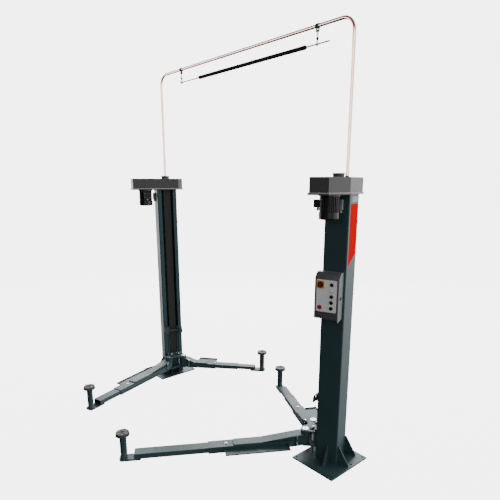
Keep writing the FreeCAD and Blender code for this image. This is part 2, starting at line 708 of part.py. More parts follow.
def tray(start, length, width):
    """Shallow sheet tray on the outer side of an arm, with a flared rim along its edge and at both ends."""
    inner = OUTER_WIDTH / 2
    edge = inner + width
    low = ROOT_LOW + TRAY_RISE
    rim = low + TRAY_RIM
    section = [(inner, low), (edge, low), (edge + TRAY_FLARE, rim), (edge + TRAY_FLARE - TRAY_SHEET, rim)]
    section += [(edge - TRAY_SHEET, low + TRAY_SHEET), (inner + TRAY_SHEET, low + TRAY_SHEET)]
    section += [(inner + TRAY_SHEET, rim), (inner, rim)]
    whole = [(inner, low), (edge, low), (edge + TRAY_FLARE, rim), (inner, rim)]

    def sheet(outline, begin, thick):
        corners = [Vector(begin, y, z) for y, z in outline]
        return Part.Face(Part.makePolygon(corners + corners[:1])).extrude(Vector(thick, 0, 0))

    body = sheet(section, start, length).fuse(sheet(whole, start, TRAY_SHEET))
    return one_solid(body.fuse(sheet(whole, start + length - TRAY_SHEET, TRAY_SHEET)))


def sliding_size(walls):
    """Underside, width and height of the tube that slides inside the tubes with these walls."""
    lost = sum(walls) + SLIDE_GAP * len(walls)
    return ROOT_LOW + lost, OUTER_WIDTH - 2 * lost, OUTER_HEIGHT - 2 * lost


def last_stage(end, length, walls):
    """Last tube of an arm with the foot plate under its end, bored for the post."""
    low, width, height = sliding_size(walls)
    tube = box_tube(end - length, end, low, width, height, INNER_WALL)
    post_x = end + POST_AHEAD
    tip = post_x + FOOT_AHEAD
    half = FOOT_WIDTH / 2
    outline = [(end - FOOT_LAP, -half), (tip - FOOT_CORNER, -half), (tip, FOOT_CORNER - half)]
    outline += [(tip, half - FOOT_CORNER), (tip - FOOT_CORNER, half), (end - FOOT_LAP, half)]
    foot = prism(outline, low - FOOT_THICK, low)
    foot = foot.cut(post(POST_RADIUS + RUNNING_GAP, post_x, 0, low - FOOT_THICK - PAST, low + PAST))
    return one_solid(tube.fuse(foot))


def pad_post(end, walls):
    """Round post through the foot plate, with the cup that holds the rubber."""
    x = end + POST_AHEAD
    foot = sliding_size(walls)[0] - FOOT_THICK - POST_BELOW
    bar = post(POST_RADIUS, x, 0, foot, POST_TOP)
    return one_solid(bar.fuse(post(CUP_RADIUS, x, 0, POST_TOP, POST_TOP + CUP_THICK)))


def pad_rubber(end):
    """Round rubber pad, its top cut into sectors by crossing grooves."""
    x = end + POST_AHEAD
    low = POST_TOP + CUP_THICK
    top = low + RUBBER_THICK
    pad = post(RUBBER_RADIUS, x, 0, low, top)
    reach = RUBBER_RADIUS + PAST
    for place in range(GROOVES):
        groove_low = Vector(-reach, -GROOVE_WIDTH / 2, top - GROOVE_DEPTH)
        groove = block(groove_low, Vector(reach, GROOVE_WIDTH / 2, top + PAST))
        groove.rotate(ORIGIN, UP, place * 180.0 / GROOVES)
        groove.translate(Vector(x, 0, 0))
        pad = pad.cut(groove)
    return one_solid(pad)


def long_arm(side, turn, out):
    end = LONG_END + out - POST_AHEAD
    walls = [OUTER_WALL]
    pieces = {
        "long_arm": outer_stage(LONG_BEND, LONG_END - LONG_PLATE_BACK, LONG_END),
        "long_tray": tray(LONG_TRAY_START, LONG_TRAY_LENGTH, LONG_TRAY_WIDTH),
        "long_inner": last_stage(end, LONG_INNER_LENGTH, walls),
        "long_post": pad_post(end, walls),
        "long_pad": pad_rubber(end),
    }
    return {side + "_" + name: seat_arm(shape, turn, 1, side) for name, shape in pieces.items()}


def short_arm(side, turn, middle_out, inner_out):
    middle_end = SHORT_END + middle_out
    end = middle_end + inner_out - POST_AHEAD
    low, width, height = sliding_size([OUTER_WALL])
    walls = [OUTER_WALL, MIDDLE_WALL]
    pieces = {
        "short_arm": outer_stage(SHORT_BEND, SHORT_END - SHORT_PLATE_BACK, SHORT_END),
        "short_tray": tray(SHORT_TRAY_START, SHORT_TRAY_LENGTH, SHORT_TRAY_WIDTH),
        "short_middle": box_tube(middle_end - SHORT_MIDDLE_LENGTH, middle_end, low, width, height, MIDDLE_WALL),
        "short_inner": last_stage(end, SHORT_INNER_LENGTH, walls),
        "short_post": pad_post(end, walls),
        "short_pad": pad_rubber(end),
    }
    return {side + "_" + name: seat_arm(shape, turn, -1, side) for name, shape in pieces.items()}


def front_bar(radius, u, z, start, end):
    """A round bar that points out of the control box."""
    return rod(radius, Vector(u, start, z), Vector(u, end, z))


def key_u():
    return BOX_LOW_U + PANEL_SIDE + KEY_SIDE


def stop_key_u():
    return BOX_LOW_U + PANEL_SIDE + PANEL_WIDTH - STOP_KEY_SIDE


def key_heights():
    """Heights of the round places in the long row; the second one holds the lamp."""
    top = BOX_FOOT + PANEL_FOOT_GAP + PANEL_HEIGHT - KEY_TOP_GAP
    return [top - KEY_PITCH * place for place in range(KEY_PLACES)]


def key_places():
    """Places of the four plain keys and the stop key, which stands level with the lowest of them."""
    heights = key_heights()
    rows = {"key_top": heights[0], "key_up": heights[2], "key_down": heights[3], "key_low": heights[-1]}
    places = {name: (key_u(), z, KEY_RADIUS) for name, z in rows.items()}
    places["stop_key"] = (stop_key_u(), heights[-1], STOP_KEY_RADIUS)
    return places


def switch_place():
    half = SWITCH_SIZE / 2
    u = BOX_LOW_U + PANEL_SIDE + PANEL_WIDTH - SWITCH_SIDE - half
    z = BOX_FOOT + PANEL_FOOT_GAP + PANEL_HEIGHT - SWITCH_TOP - half
    return u, z


def stem_holes(shape, start, end):
    """Cuts the hole of every key stem through a plate of the box's front."""
    for u, z, _ in key_places().values():
        shape = shape.cut(front_bar(KEY_STEM_RADIUS + SHAFT_GAP, u, z, start - PAST, end + PAST))
    return shape


def control_box():
    """Sheet box with a slope along the top of its front and holes for the key stems."""

    def shell(inset):
        back = HALF_WIDTH + inset
        front = BOX_FRONT - inset
        foot = BOX_FOOT + inset
        top = BOX_FOOT + BOX_HEIGHT - inset
        outline = [(back, foot), (front, foot), (front, top - BOX_SLOPE), (front - BOX_SLOPE_DEPTH, top)]
        outline.append((back, top))
        corners = [Vector(BOX_LOW_U + inset, v, z) for v, z in outline]
        face = Part.Face(Part.makePolygon(corners + corners[:1]))
        return face.extrude(Vector(BOX_WIDTH - 2 * inset, 0, 0))

    box = shell(0).cut(shell(BOX_WALL))
    return seat(stem_holes(box, BOX_FRONT - BOX_WALL, BOX_FRONT), "right")


def control_panel():
    """Panel with round corners on the front of the box."""
    low = Vector(BOX_LOW_U + PANEL_SIDE, BOX_FRONT, BOX_FOOT + PANEL_FOOT_GAP)
    panel = block(low, low + Vector(PANEL_WIDTH, PANEL_THICK, PANEL_HEIGHT))
    corners = [edge for edge in panel.Edges if abs(edge.tangentAt(edge.FirstParameter).y) > 0.5]
    return seat(stem_holes(panel.makeFillet(PANEL_CORNER, corners), BOX_FRONT, PANEL_FRONT), "right")


def switch_plate():
    u, z = switch_place()
    half = SWITCH_SIZE / 2
    plate_front = PANEL_FRONT + SWITCH_THICK
    plate = block(Vector(u - half, PANEL_FRONT, z - half), Vector(u + half, plate_front, z + half))
    bore = front_bar(SHAFT_RADIUS + SHAFT_GAP, u, z, PANEL_FRONT - PAST, plate_front + PAST)
    return seat(plate.cut(bore), "right")


def switch_knob():
    """Round knob with a raised handle bar, on a shaft through its plate."""
    u, z = switch_place()
    back = PANEL_FRONT + SWITCH_THICK + SLIDE_GAP
    front = back + KNOB_DEPTH + HANDLE_DEPTH
    low = Vector(u - HANDLE_WIDTH / 2, back, z - KNOB_RADIUS)
    handle = block(low, Vector(u + HANDLE_WIDTH / 2, front, z + KNOB_RADIUS))
    handle = handle.common(front_bar(KNOB_RADIUS, u, z, back, front))
    knob = front_bar(KNOB_RADIUS, u, z, back, back + KNOB_DEPTH).fuse(handle)
    return seat(one_solid(knob.fuse(front_bar(SHAFT_RADIUS, u, z, PANEL_FRONT + SHAFT_GAP, back))), "right")


def lamp():
    z = key_heights()[1]
    return seat(front_bar(KEY_RADIUS, key_u(), z, PANEL_FRONT, PANEL_FRONT + LAMP_DEPTH), "right")


def key(u, z, radius):
    """A push key: round cap that stands off the panel by its travel, on a stem into the box."""
    back = PANEL_FRONT + KEY_TRAVEL + KEY_REST_GAP
    stem = front_bar(KEY_STEM_RADIUS, u, z, BOX_FRONT - BOX_WALL - KEY_STEM_IN, back)
    return seat(one_solid(stem.fuse(front_bar(radius, u, z, back, back + KEY_CAP_THICK))), "right")


def overhead_tube():
    """Bent tube over the bay, from one cap to the other."""
    diagonal = TUBE_BEND * (1 - math.sqrt(0.5))
    low_bend = OVER_Z - TUBE_BEND
    left_foot = Vector(-OVER_X, OVER_Y, CAP_TOP)
    left_up = Vector(-OVER_X, OVER_Y, low_bend)
    left_mid = Vector(-OVER_X + diagonal, OVER_Y, OVER_Z - diagonal)
    left_over = Vector(-OVER_X + TUBE_BEND, OVER_Y, OVER_Z)
    right_over = Vector(OVER_X - TUBE_BEND, OVER_Y, OVER_Z)
    right_mid = Vector(OVER_X - diagonal, OVER_Y, OVER_Z - diagonal)
    right_up = Vector(OVER_X, OVER_Y, low_bend)
    right_foot = Vector(OVER_X, OVER_Y, CAP_TOP)
    edges = [Part.makeLine(left_foot, left_up), Part.Arc(left_up, left_mid, left_over).toShape()]
    edges += [Part.makeLine(left_over, right_over), Part.Arc(right_over, right_mid, right_up).toShape()]
    edges.append(Part.makeLine(right_up, right_foot))
    path = Part.Wire(edges)
    outer = Part.Wire(Part.makeCircle(TUBE_RADIUS, left_foot, UP))
    inner = Part.Wire(Part.makeCircle(TUBE_RADIUS - TUBE_WALL, left_foot, UP))
    return path.makePipeShell([outer], True, True).cut(path.makePipeShell([inner], True, True))


def clamp_x(side):
    return OVER_X - RIGHT_CLAMP_IN if side == "right" else LEFT_CLAMP_IN - OVER_X


def along(radius, low_x, high_x, z):
    """A round bar that runs along the overhead tube's direction."""
    return rod(radius, Vector(low_x, OVER_Y, z), Vector(high_x, OVER_Y, z))


def clamp(side):
    """Band clamp round the tube with two cheeks and a small pin below it for the hanger's eye."""
    left = clamp_x(side) - CLAMP_WIDTH / 2
    right = left + CLAMP_WIDTH
    band = along(CLAMP_RADIUS, left, right, OVER_Z)
    eye_z = OVER_Z - EYE_DROP
    half = STRAP_WIDTH / 2
    for x in (left, right - STRAP_THICK):
        low = Vector(x, OVER_Y - half, eye_z - half)
        band = band.fuse(block(low, Vector(x + STRAP_THICK, OVER_Y + half, OVER_Z)))
    band = band.cut(along(TUBE_RADIUS + BORE_GAP, left - PAST, right + PAST, OVER_Z))
    return one_solid(band.fuse(along(EYE_PIN_RADIUS, left, right, eye_z)))


def hanger(side):
    """Strap with an eye on the clamp's pin and a ring round the rod."""
    left = clamp_x(side) - STRAP_THICK / 2
    right = left + STRAP_THICK
    eye_z = OVER_Z - EYE_DROP
    rod_z = OVER_Z - ROD_DROP
    half = STRAP_WIDTH / 2
    strap = block(Vector(left, OVER_Y - half, rod_z), Vector(right, OVER_Y + half, eye_z))
    strap = strap.fuse(along(EYE_RADIUS, left, right, eye_z))
    strap = strap.fuse(along(EYE_RADIUS + ROD_RADIUS, left, right, rod_z))
    strap = strap.cut(along(EYE_PIN_RADIUS + RUNNING_GAP, left - PAST, right + PAST, eye_z))
    return one_solid(strap.cut(along(ROD_RADIUS + BORE_GAP, left - PAST, right + PAST, rod_z)))


def stop_rod():
    low = clamp_x("left") - ROD_LEFT_OVER
    high = clamp_x("right") + ROD_RIGHT_OVER
    return along(ROD_RADIUS, low, high, OVER_Z - ROD_DROP)


def stop_sleeve():
    low = clamp_x("left") + SLEEVE_LEFT_IN
    high = clamp_x("right") - SLEEVE_RIGHT_IN
    bore = along(ROD_RADIUS, low, high, OVER_Z - ROD_DROP)
    return along(SLEEVE_RADIUS, low, high, OVER_Z - ROD_DROP).cut(bore)


def column_pieces(side):
    return {
        side + "_base_plate": base_plate(side),
        side + "_column": column(side),
        side + "_cover_strip": cover_strip(side),
        side + "_spindle": spindle(side),
        side + "_head_plate": head_plate(side),
        side + "_cap": cap(side),
        side + "_motor": motor(side),
        side + "_carriage": carriage(side),
        side + "_arm_pins": arm_pins(side),
        side + "_arm_locks": arm_locks(side),
    }


def control_pieces():
    pieces = {
        "control_box": control_box(),
        "control_panel": control_panel(),
        "switch_plate": switch_plate(),
        "switch_knob": switch_knob(),
        "lamp": lamp(),
    }
    for name, (u, z, radius) in key_places().items():
        pieces[name] = key(u, z, radius)
    return pieces


def overhead_pieces():
    return {
        "overhead_tube": overhead_tube(),
        "right_clamp": clamp("right"),
        "left_clamp": clamp("left"),
        "right_hanger": hanger("right"),
        "left_hanger": hanger("left"),
        "stop_rod": stop_rod(),
        "stop_sleeve": stop_sleeve(),
    }


pieces = {}
for side in ("right", "left"):
    pieces.update(column_pieces(side))
pieces.update(long_arm("right", RIGHT_LONG_TURN, RIGHT_LONG_OUT))
pieces.update(long_arm("left", LEFT_LONG_TURN, LEFT_LONG_OUT))
pieces.update(short_arm("right", RIGHT_SHORT_TURN, RIGHT_MIDDLE_OUT, RIGHT_INNER_OUT))
pieces.update(short_arm("left", LEFT_SHORT_TURN, LEFT_MIDDLE_OUT, LEFT_INNER_OUT))
pieces.update(control_pieces())
pieces.update(overhead_pieces())

os.makedirs("parts", exist_ok=True)
for name, shape in pieces.items():
    shape.exportStep(os.path.join("parts", name + ".step"))
    print(name, shape.isValid(), len(shape.Solids), round(shape.Volume / 1e6, 3))
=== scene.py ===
# %% [markdown]
# # Two post car lift
# A workshop lift for cars: two folded steel columns stand on base plates, a carriage climbs inside each,
# and every carriage carries a long and a short telescopic arm. The measured shape comes ready made as a
# fixed frame. This lesson gives it its finishes and the small things that a plain solid leaves out:
# welds, screws, threads, springs, rubber tips, cover film and the fittings of the control box.

# %% Load the frame
import json
import math

import bmesh
import bpy
from mathutils import Matrix, Vector


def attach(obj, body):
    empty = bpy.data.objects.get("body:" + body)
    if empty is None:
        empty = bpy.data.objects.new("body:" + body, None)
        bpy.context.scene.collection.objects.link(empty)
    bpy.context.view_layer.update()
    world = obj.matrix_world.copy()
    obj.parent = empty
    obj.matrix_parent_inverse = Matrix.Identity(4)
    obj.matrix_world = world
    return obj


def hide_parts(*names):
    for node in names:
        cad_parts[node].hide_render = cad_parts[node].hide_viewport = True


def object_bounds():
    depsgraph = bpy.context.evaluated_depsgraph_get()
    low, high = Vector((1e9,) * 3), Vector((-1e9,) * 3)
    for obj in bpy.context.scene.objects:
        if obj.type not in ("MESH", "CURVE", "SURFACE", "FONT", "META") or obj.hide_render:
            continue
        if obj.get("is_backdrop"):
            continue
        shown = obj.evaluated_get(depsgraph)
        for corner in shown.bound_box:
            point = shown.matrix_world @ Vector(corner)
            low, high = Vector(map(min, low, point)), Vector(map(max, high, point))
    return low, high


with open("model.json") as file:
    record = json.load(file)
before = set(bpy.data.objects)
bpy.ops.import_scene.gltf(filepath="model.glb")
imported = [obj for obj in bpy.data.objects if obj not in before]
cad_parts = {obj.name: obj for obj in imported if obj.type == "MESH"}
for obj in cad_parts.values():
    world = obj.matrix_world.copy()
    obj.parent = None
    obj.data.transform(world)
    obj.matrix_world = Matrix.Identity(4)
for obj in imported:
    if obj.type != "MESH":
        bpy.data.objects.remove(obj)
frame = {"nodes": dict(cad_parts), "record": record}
cad_low, cad_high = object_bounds()

# %% [markdown]
# ## Two frames to work in
# Both columns are turned about their own axes, so nothing on them lines up with the world's axes. It is
# far easier to place a screw in the column's own frame, with u out of its open face and v towards the
# motor, and to let one matrix carry it home. The arms get the same treatment: x runs along the tubes, y
# to the outer side.

# %% The places of columns and arms
# On a column, in metres: half its section, the tops of column and cap, the arms' pins, the motor's axis.
COLUMN_AT = Vector((1.45, 0.036, 0.0))
COLUMN_TURN = math.radians(18.6)
HALF_DEPTH, HALF_WIDTH = 0.1085, 0.126
COLUMN_TOP, CAP_TOP = 2.546, 2.686
PIVOT_U, PIVOT_V = 0.230, 0.100
MOTOR_U, MOTOR_V = 0.020, 0.262
SIDES = ("right", "left")
ARM_HAND = {"long": 1, "short": -1}
# How far each arm is swung out at rest, in degrees, and how far from its pin the pad's post stands.
ARM_TURNS = {
    ("right", "long"): 38.6,
    ("left", "long"): 53.5,
    ("right", "short"): -46.0,
    ("left", "short"): -58.9,
}
ARM_POST = {
    ("right", "long"): 1.748,
    ("left", "long"): 1.367,
    ("right", "short"): 1.121,
    ("left", "short"): 1.115,
}


def column_place(side):
    """Matrix from the column's own frame to the world; the left column mirrors the right one."""
    place = Matrix.Translation(COLUMN_AT) @ Matrix.Rotation(math.pi + COLUMN_TURN, 4, "Z")
    if side == "left":
        place = Matrix.Scale(-1, 4, (1, 0, 0)) @ place
    return place


def arm_place(side, kind):
    """Matrix from an arm's own frame, with its pin at the origin, to the world."""
    hand = ARM_HAND[kind]
    turn = Matrix.Rotation(math.radians(ARM_TURNS[side, kind]), 4, "Z")
    place = column_place(side) @ Matrix.Translation((PIVOT_U, hand * PIVOT_V, 0)) @ turn
    if hand < 0:
        place = place @ Matrix.Scale(-1, 4, (0, 1, 0))
    return place


print("arms:", len(ARM_TURNS))

# %% [markdown]
# ## Colours and nodes
# Colours are picked as sRGB hex values, the way a paint chart or an image editor gives them. Blender's
# shaders work with linear light, so one function turns them. A second small function adds a node with its
# settings and links, which keeps every material short enough to read. Most sockets go by their names. A
# Map Range or Math node takes its inputs in the order of its panel, and a Mix node for colours has its
# share at input 0, its two colours at 6 and 7 and its result at output 2.


# %% Helpers for materials
def colour(code):
    """An sRGB hex value as linear red, green, blue and alpha."""
    parts = [int(code[start:start + 2], 16) / 255 for start in (1, 3, 5)]
    linear = [part / 12.92 if part <= 0.04045 else ((part + 0.055) / 1.055) ** 2.4 for part in parts]
    return (*linear, 1.0)


def add(tree, kind, inputs=(), out=0, **settings):
    """Adds a node and gives one output. Inputs go by order or name: a socket is linked, a value is set."""
    node = tree.nodes.new(kind)
    for name, value in settings.items():
        setattr(node, name, value)
    pairs = inputs.items() if isinstance(inputs, dict) else enumerate(inputs)
    for name, value in pairs:
        if isinstance(value, bpy.types.NodeSocket):
            tree.links.new(value, node.inputs[name])
        else:
            node.inputs[name].default_value = value
    return node.outputs[out] if len(node.outputs) else node


def new_material(name):
    """An empty node material, its tree and the Object coordinates that its patterns read."""
    material = bpy.data.materials.new(name)
    material.use_nodes = True
    tree = material.node_tree
    tree.nodes.clear()
    return material, tree, add(tree, "ShaderNodeTexCoord", out="Object")


def finished(material, sockets):
    """Closes a material with the shader that makes its surface."""
    tree = material.node_tree
    surface = add(tree, "ShaderNodeBsdfPrincipled", sockets)
    add(tree, "ShaderNodeOutputMaterial", {"Surface": surface})
    return material


print("mid grey #808080 is", round(colour("#808080")[0], 3), "in linear light")

# %% [markdown]
# ## Painted steel
# Nearly everything here is powder coated: dry paint is sprayed on and melted in an oven. That gives a
# satin skin with a very fine orange peel, worn a little thinner and lighter along edges. The true grain of
# about 0.5 mm can't show in a picture of a three metre machine, so it is drawn at 4 mm. The edges come
# from the Bevel node, which rounds the shading normal without touching the measured mesh. The lacquer on
# the caps and their hem, the enamel of the motors, the green paint of the clamps and the moulded
# cover of the control box have the same kind of skin, so they share the recipe. The lacquer of the caps
# is smoother, and its edges are painted light as a highlight. The hem is painted pale as a highlight, and
# the enamel is glossier and more uneven.


# %% Powder coat
def powder_coat(name, base, edge, roughness=0.4, grain=0.004, depth=0.06, round_edge=0.0018,
                sheen="#ffffff"):
    material, tree, place = new_material(name)
    sockets = {"Vector": place, "Scale": 2.2, "Detail": 3.0, "Roughness": 0.55}
    soft = add(tree, "ShaderNodeTexNoise", sockets)
    fine = add(tree, "ShaderNodeTexNoise", {"Vector": place, "Scale": 1 / grain, "Detail": 2.0})
    rounded = add(tree, "ShaderNodeBevel", {"Radius": round_edge}, samples=4)
    flat = add(tree, "ShaderNodeNewGeometry", out="Normal")
    facing = add(tree, "ShaderNodeVectorMath", (rounded, flat), "Value", operation="DOT_PRODUCT")
    # Lighter edges: worn paint on most coats, a painted highlight on the caps and their hem.
    edge_wear_and_highlight = add(tree, "ShaderNodeMapRange", (facing, 0.995, 0.9, 0.0, 0.55))
    cloud = add(tree, "ShaderNodeMapRange", (soft, 0.3, 0.7, 0.0, 1.0))
    lighter = tuple(min(1.0, part * 1.22) for part in colour(base)[:3]) + (1.0,)
    shade = add(tree, "ShaderNodeMix", {0: cloud, 6: colour(base), 7: lighter}, 2, data_type="RGBA")
    shade = add(tree, "ShaderNodeMix", {0: edge_wear_and_highlight, 6: shade, 7: colour(edge)}, 2, data_type="RGBA")
    rough = add(tree, "ShaderNodeMapRange", (soft, 0.3, 0.7, roughness - 0.05, roughness + 0.05))
    sockets = {"Height": fine, "Normal": rounded, "Strength": depth, "Distance": 0.002}
    bump = add(tree, "ShaderNodeBump", sockets)
    return finished(material, {
        "Base Color": shade, "Roughness": rough, "Normal": bump, "IOR": 1.5,
        "Specular Tint": colour(sheen)})


green_grey_paint = powder_coat("green_grey_powder_coat", "#2f4548", "#6f7c7c", 0.42, sheen="#dfeef0")
# The caps' light edge colour is a painted highlight along their rims.
cap_lacquer = powder_coat("grey_cap_lacquer", "#404040", "#b8b8b8", 0.36, grain=0.006, round_edge=0.003)
motor_enamel = powder_coat("black_motor_enamel", "#0e0e0f", "#2c2c2e", 0.3, grain=0.005, depth=0.12)
box_coat = powder_coat("light_grey_box_coat", "#6b6e70", "#b9bcbc", 0.45)
cover_plastic = powder_coat("charcoal_cover_plastic", "#4a4d4e", "#8a8c8d", 0.42, grain=0.003)
clamp_paint = powder_coat("green_clamp_paint", "#1f5a3d", "#5d8a72", round_edge=0.0008)
# The hem's pale colour is a painted highlight along the rim of each cap.
hem_highlight_paint = powder_coat("hem_painted_highlight", "#a4a4a4", "#d0d0d0", round_edge=0.001)
print("coats:", len(bpy.data.materials))

# %% [markdown]
# ## Bare metals
# Zinc plated fasteners are bright with a slight blue, the pins and rods are ground steel with fine lines
# along them, and the tube over the bay is polished stainless steel. A metal keeps the default IOR,
# because its colour alone sets how it reflects. The tube's pale copper colour and its reddish blotches
# are a painted reflection of the warm light around it. The lines are drawn 4 mm apart and 55 mm long,
# because real grinding marks are too fine to show.


# %% Metals
def bare_metal(name, base, roughness, lines=0.0, line_axis=2, stain_and_reflection="#8d8478", stain_and_reflection_share=0.12):
    material, tree, place = new_material(name)
    stretch = [260.0, 260.0, 260.0]
    stretch[line_axis] = 18.0
    scaled = add(tree, "ShaderNodeMapping", {"Vector": place, "Scale": stretch})
    grain = add(tree, "ShaderNodeTexNoise", {"Vector": scaled, "Scale": 1.0, "Detail": 2.0})
    cloud = add(tree, "ShaderNodeTexNoise", {"Vector": place, "Scale": 9.0, "Detail": 4.0})
    # Blotches of a second colour: real stains on most metals, a painted reflection of warm light on the
    # tube.
    share = add(tree, "ShaderNodeMapRange", (cloud, 0.45, 0.75, 0.0, stain_and_reflection_share))
    shade = add(tree, "ShaderNodeMix", {0: share, 6: colour(base), 7: colour(stain_and_reflection)}, 2, data_type="RGBA")
    rough = add(tree, "ShaderNodeMapRange", (grain, 0.3, 0.7, roughness * 0.75, roughness * 1.3))
    rounded = add(tree, "ShaderNodeBevel", {"Radius": 0.0008}, samples=4)
    sockets = {"Height": grain, "Normal": rounded, "Strength": lines, "Distance": 0.001}
    bump = add(tree, "ShaderNodeBump", sockets)
    return finished(material, {"Base Color": shade, "Metallic": 1.0, "Roughness": rough, "Normal": bump})


zinc_plate = bare_metal("bright_zinc_plate", "#d9dcdf", 0.3, lines=0.05)
ground_steel = bare_metal("ground_steel_bar", "#b4b3b0", 0.3, lines=0.1, line_axis=0)
# The copper tint and the strong reddish blotches of the tube are a painted reflection of warm light.
polished_tube = bare_metal("polished_stainless_tube", "#e6c2b6", 0.12, stain_and_reflection="#c07a6a", stain_and_reflection_share=0.5)
print("with metals:", len(bpy.data.materials))

# %% [markdown]
# ## Plastics, rubber, foam and film
# The switch, the keys and the cable glands are moulded plastic with a soft gloss, and the lamp's lens has
# a clear coat, so it gleams. The pads are black rubber, dusty and dull. The foam sleeve on the stop bar
# is closed cell foam: matt, with small pores. The panel of the control box is lacquered sheet, nearly
# white. The label on the column's back is a satin film. The red film below it is matt vinyl and has no
# specular at all, because a pale gleam would wash the strong red out. The strip in each column's mouth is
# a woven band that has to flex.


# %% Plastics and the rest
def plain_stuff(name, base, other, roughness, grain, depth, coat=0.0, cells=False, gloss=0.5):
    material, tree, place = new_material(name)
    if cells:
        pores = add(tree, "ShaderNodeTexVoronoi", {"Vector": place, "Scale": 1 / grain})
    else:
        pores = add(tree, "ShaderNodeTexNoise", {"Vector": place, "Scale": 1 / grain, "Detail": 3.0})
    cloud = add(tree, "ShaderNodeTexNoise", {"Vector": place, "Scale": 7.0, "Detail": 3.0})
    share = add(tree, "ShaderNodeMapRange", (cloud, 0.35, 0.7, 0.0, 1.0))
    shade = add(tree, "ShaderNodeMix", {0: share, 6: colour(base), 7: colour(other)}, 2, data_type="RGBA")
    rough = add(tree, "ShaderNodeMapRange", (cloud, 0.3, 0.7, roughness - 0.06, roughness + 0.06))
    bump = add(tree, "ShaderNodeBump", {"Height": pores, "Strength": depth, "Distance": 0.001})
    return finished(material, {
        "Base Color": shade, "Roughness": rough, "Normal": bump, "IOR": 1.5, "Specular IOR Level": gloss,
        "Coat Weight": coat})


def woven_band(name, warp, weft, thread):
    """Plain weave: two wave patterns at right angles, drawn at 6 mm a thread so that it shows."""
    material, tree, place = new_material(name)
    sockets = {"Vector": place, "Scale": 0.5 / thread, "Distortion": 0.4, "Detail": 1.0}
    waves = [add(tree, "ShaderNodeTexWave", sockets, "Fac", bands_direction=way) for way in ("X", "Z")]
    weave = add(tree, "ShaderNodeMath", waves, operation="MULTIPLY")
    shade = add(tree, "ShaderNodeMix", {0: weave, 6: colour(warp), 7: colour(weft)}, 2, data_type="RGBA")
    bump = add(tree, "ShaderNodeBump", {"Height": weave, "Strength": 0.4, "Distance": 0.001})
    return finished(material, {"Base Color": shade, "Roughness": 0.8, "Normal": bump, "IOR": 1.5})


strip_weave = woven_band("woven_cover_strip", "#242526", "#34302e", 0.006)
pad_rubber = plain_stuff("black_pad_rubber", "#3a3b3b", "#4a4c4c", 0.5, 0.003, 0.3)
sleeve_foam = plain_stuff("closed_cell_foam", "#111112", "#1c1c1d", 0.85, 0.004, 0.5, cells=True)
red_film = plain_stuff("red_vinyl_film", "#f00018", "#e80014", 0.6, 0.02, 0.02, gloss=0.0)
pale_film = plain_stuff("pale_label_film", "#8f9aa0", "#9aa3a8", 0.4, 0.02, 0.02)
switch_yellow = plain_stuff("yellow_moulded_plastic", "#f4c318", "#e9b512", 0.35, 0.002, 0.04)
switch_red = plain_stuff("red_moulded_plastic", "#a80f0c", "#8f0c0a", 0.32, 0.002, 0.04)
stop_red = plain_stuff("bright_red_key_plastic", "#e01814", "#cc1411", 0.3, 0.002, 0.04)
key_black = plain_stuff("black_key_plastic", "#0d0d0e", "#161617", 0.38, 0.002, 0.05)
panel_silver = plain_stuff("silver_grey_panel_lacquer", "#fafafa", "#fdfdfd", 0.35, 0.002, 0.04)
lamp_white = plain_stuff("white_lamp_lens", "#f7f7f4", "#efefec", 0.18, 0.003, 0.05, coat=0.6)
gland_plastic = plain_stuff("grey_gland_plastic", "#9a9d9f", "#888b8d", 0.45, 0.002, 0.05)
print("all finishes:", len(bpy.data.materials))

# %% [markdown]
# ## Finishes for the ready made pieces
# Each measured piece keeps its mesh and only gets the finish of the real one. The finish goes by the
# piece's own material slot in the record, so a new piece in the same slot can't be forgotten. Only the
# stop key has a finish of its own, a brighter red than the switch that shares its slot.

# %% Put the finishes on
SLOT_FINISH = {
    "column_paint": green_grey_paint,
    "strip_grey": strip_weave,
    "cap_grey": cap_lacquer,
    "steel": ground_steel,
    "zinc": zinc_plate,
    "motor_black": motor_enamel,
    "box_grey": box_coat,
    "panel_silver": panel_silver,
    "yellow": switch_yellow,
    "red": switch_red,
    "lamp_white": lamp_white,
    "key_black": key_black,
    "tube_steel": polished_tube,
    "clamp_green": clamp_paint,
    "foam_black": sleeve_foam,
    "pad_rubber": pad_rubber,
}
OWN_FINISH = {"stop_key": stop_red}
for row in frame["record"]["subparts"]:
    node = frame["nodes"][row["node"]]
    finish = OWN_FINISH.get(row["node"], SLOT_FINISH[row["material_slot"]])
    node.data.materials.clear()
    node.data.materials.append(finish)

# %% [markdown]
# ## Drawings
# Small parts are drawn in the frame of the thing that carries them. Four kinds of drawing are enough: a
# profile turned about an axis, a closed ring, an outline drawn up to a thickness and a block. Blender's
# own primitives would do for a few of them, but a profile says the real shape in one line.


# %% Turned, drawn up and rounded shapes
def stitched(shape, loops):
    """Faces from each loop of corners to the next; a loop of one corner is a point."""
    for lower, upper in zip(loops, loops[1:]):
        steps = max(len(lower), len(upper))
        for step in range(steps):
            after = (step + 1) % steps
            corners = [lower[step % len(lower)], lower[after % len(lower)]]
            corners += [upper[after % len(upper)], upper[step % len(upper)]]
            corners = list(dict.fromkeys(corners))
            if len(corners) > 2:
                shape.faces.new(corners)
    bmesh.ops.recalc_face_normals(shape, faces=shape.faces)
    return shape


def lathe(profile, segments=24):
    """Turns a profile of radius and height about the upright axis; a radius of 0 closes the end."""
    shape = bmesh.new()
    turns = [2 * math.pi * step / segments for step in range(segments)]
    circle = [(math.cos(turn), math.sin(turn)) for turn in turns]
    loops = []
    for radius, height in profile:
        around = circle if radius else [(0, 0)]
        loops.append([shape.verts.new((radius * x, radius * y, height)) for x, y in around])
    return stitched(shape, loops)


def ring(profile, segments):
    """Turns a closed profile that stays off the axis, such as a washer's section."""
    return lathe([*profile, profile[0]], segments)


def rectangle(low, high):
    """The outline between two corners."""
    return [(low[0], low[1]), (high[0], low[1]), (high[0], high[1]), (low[0], high[1])]


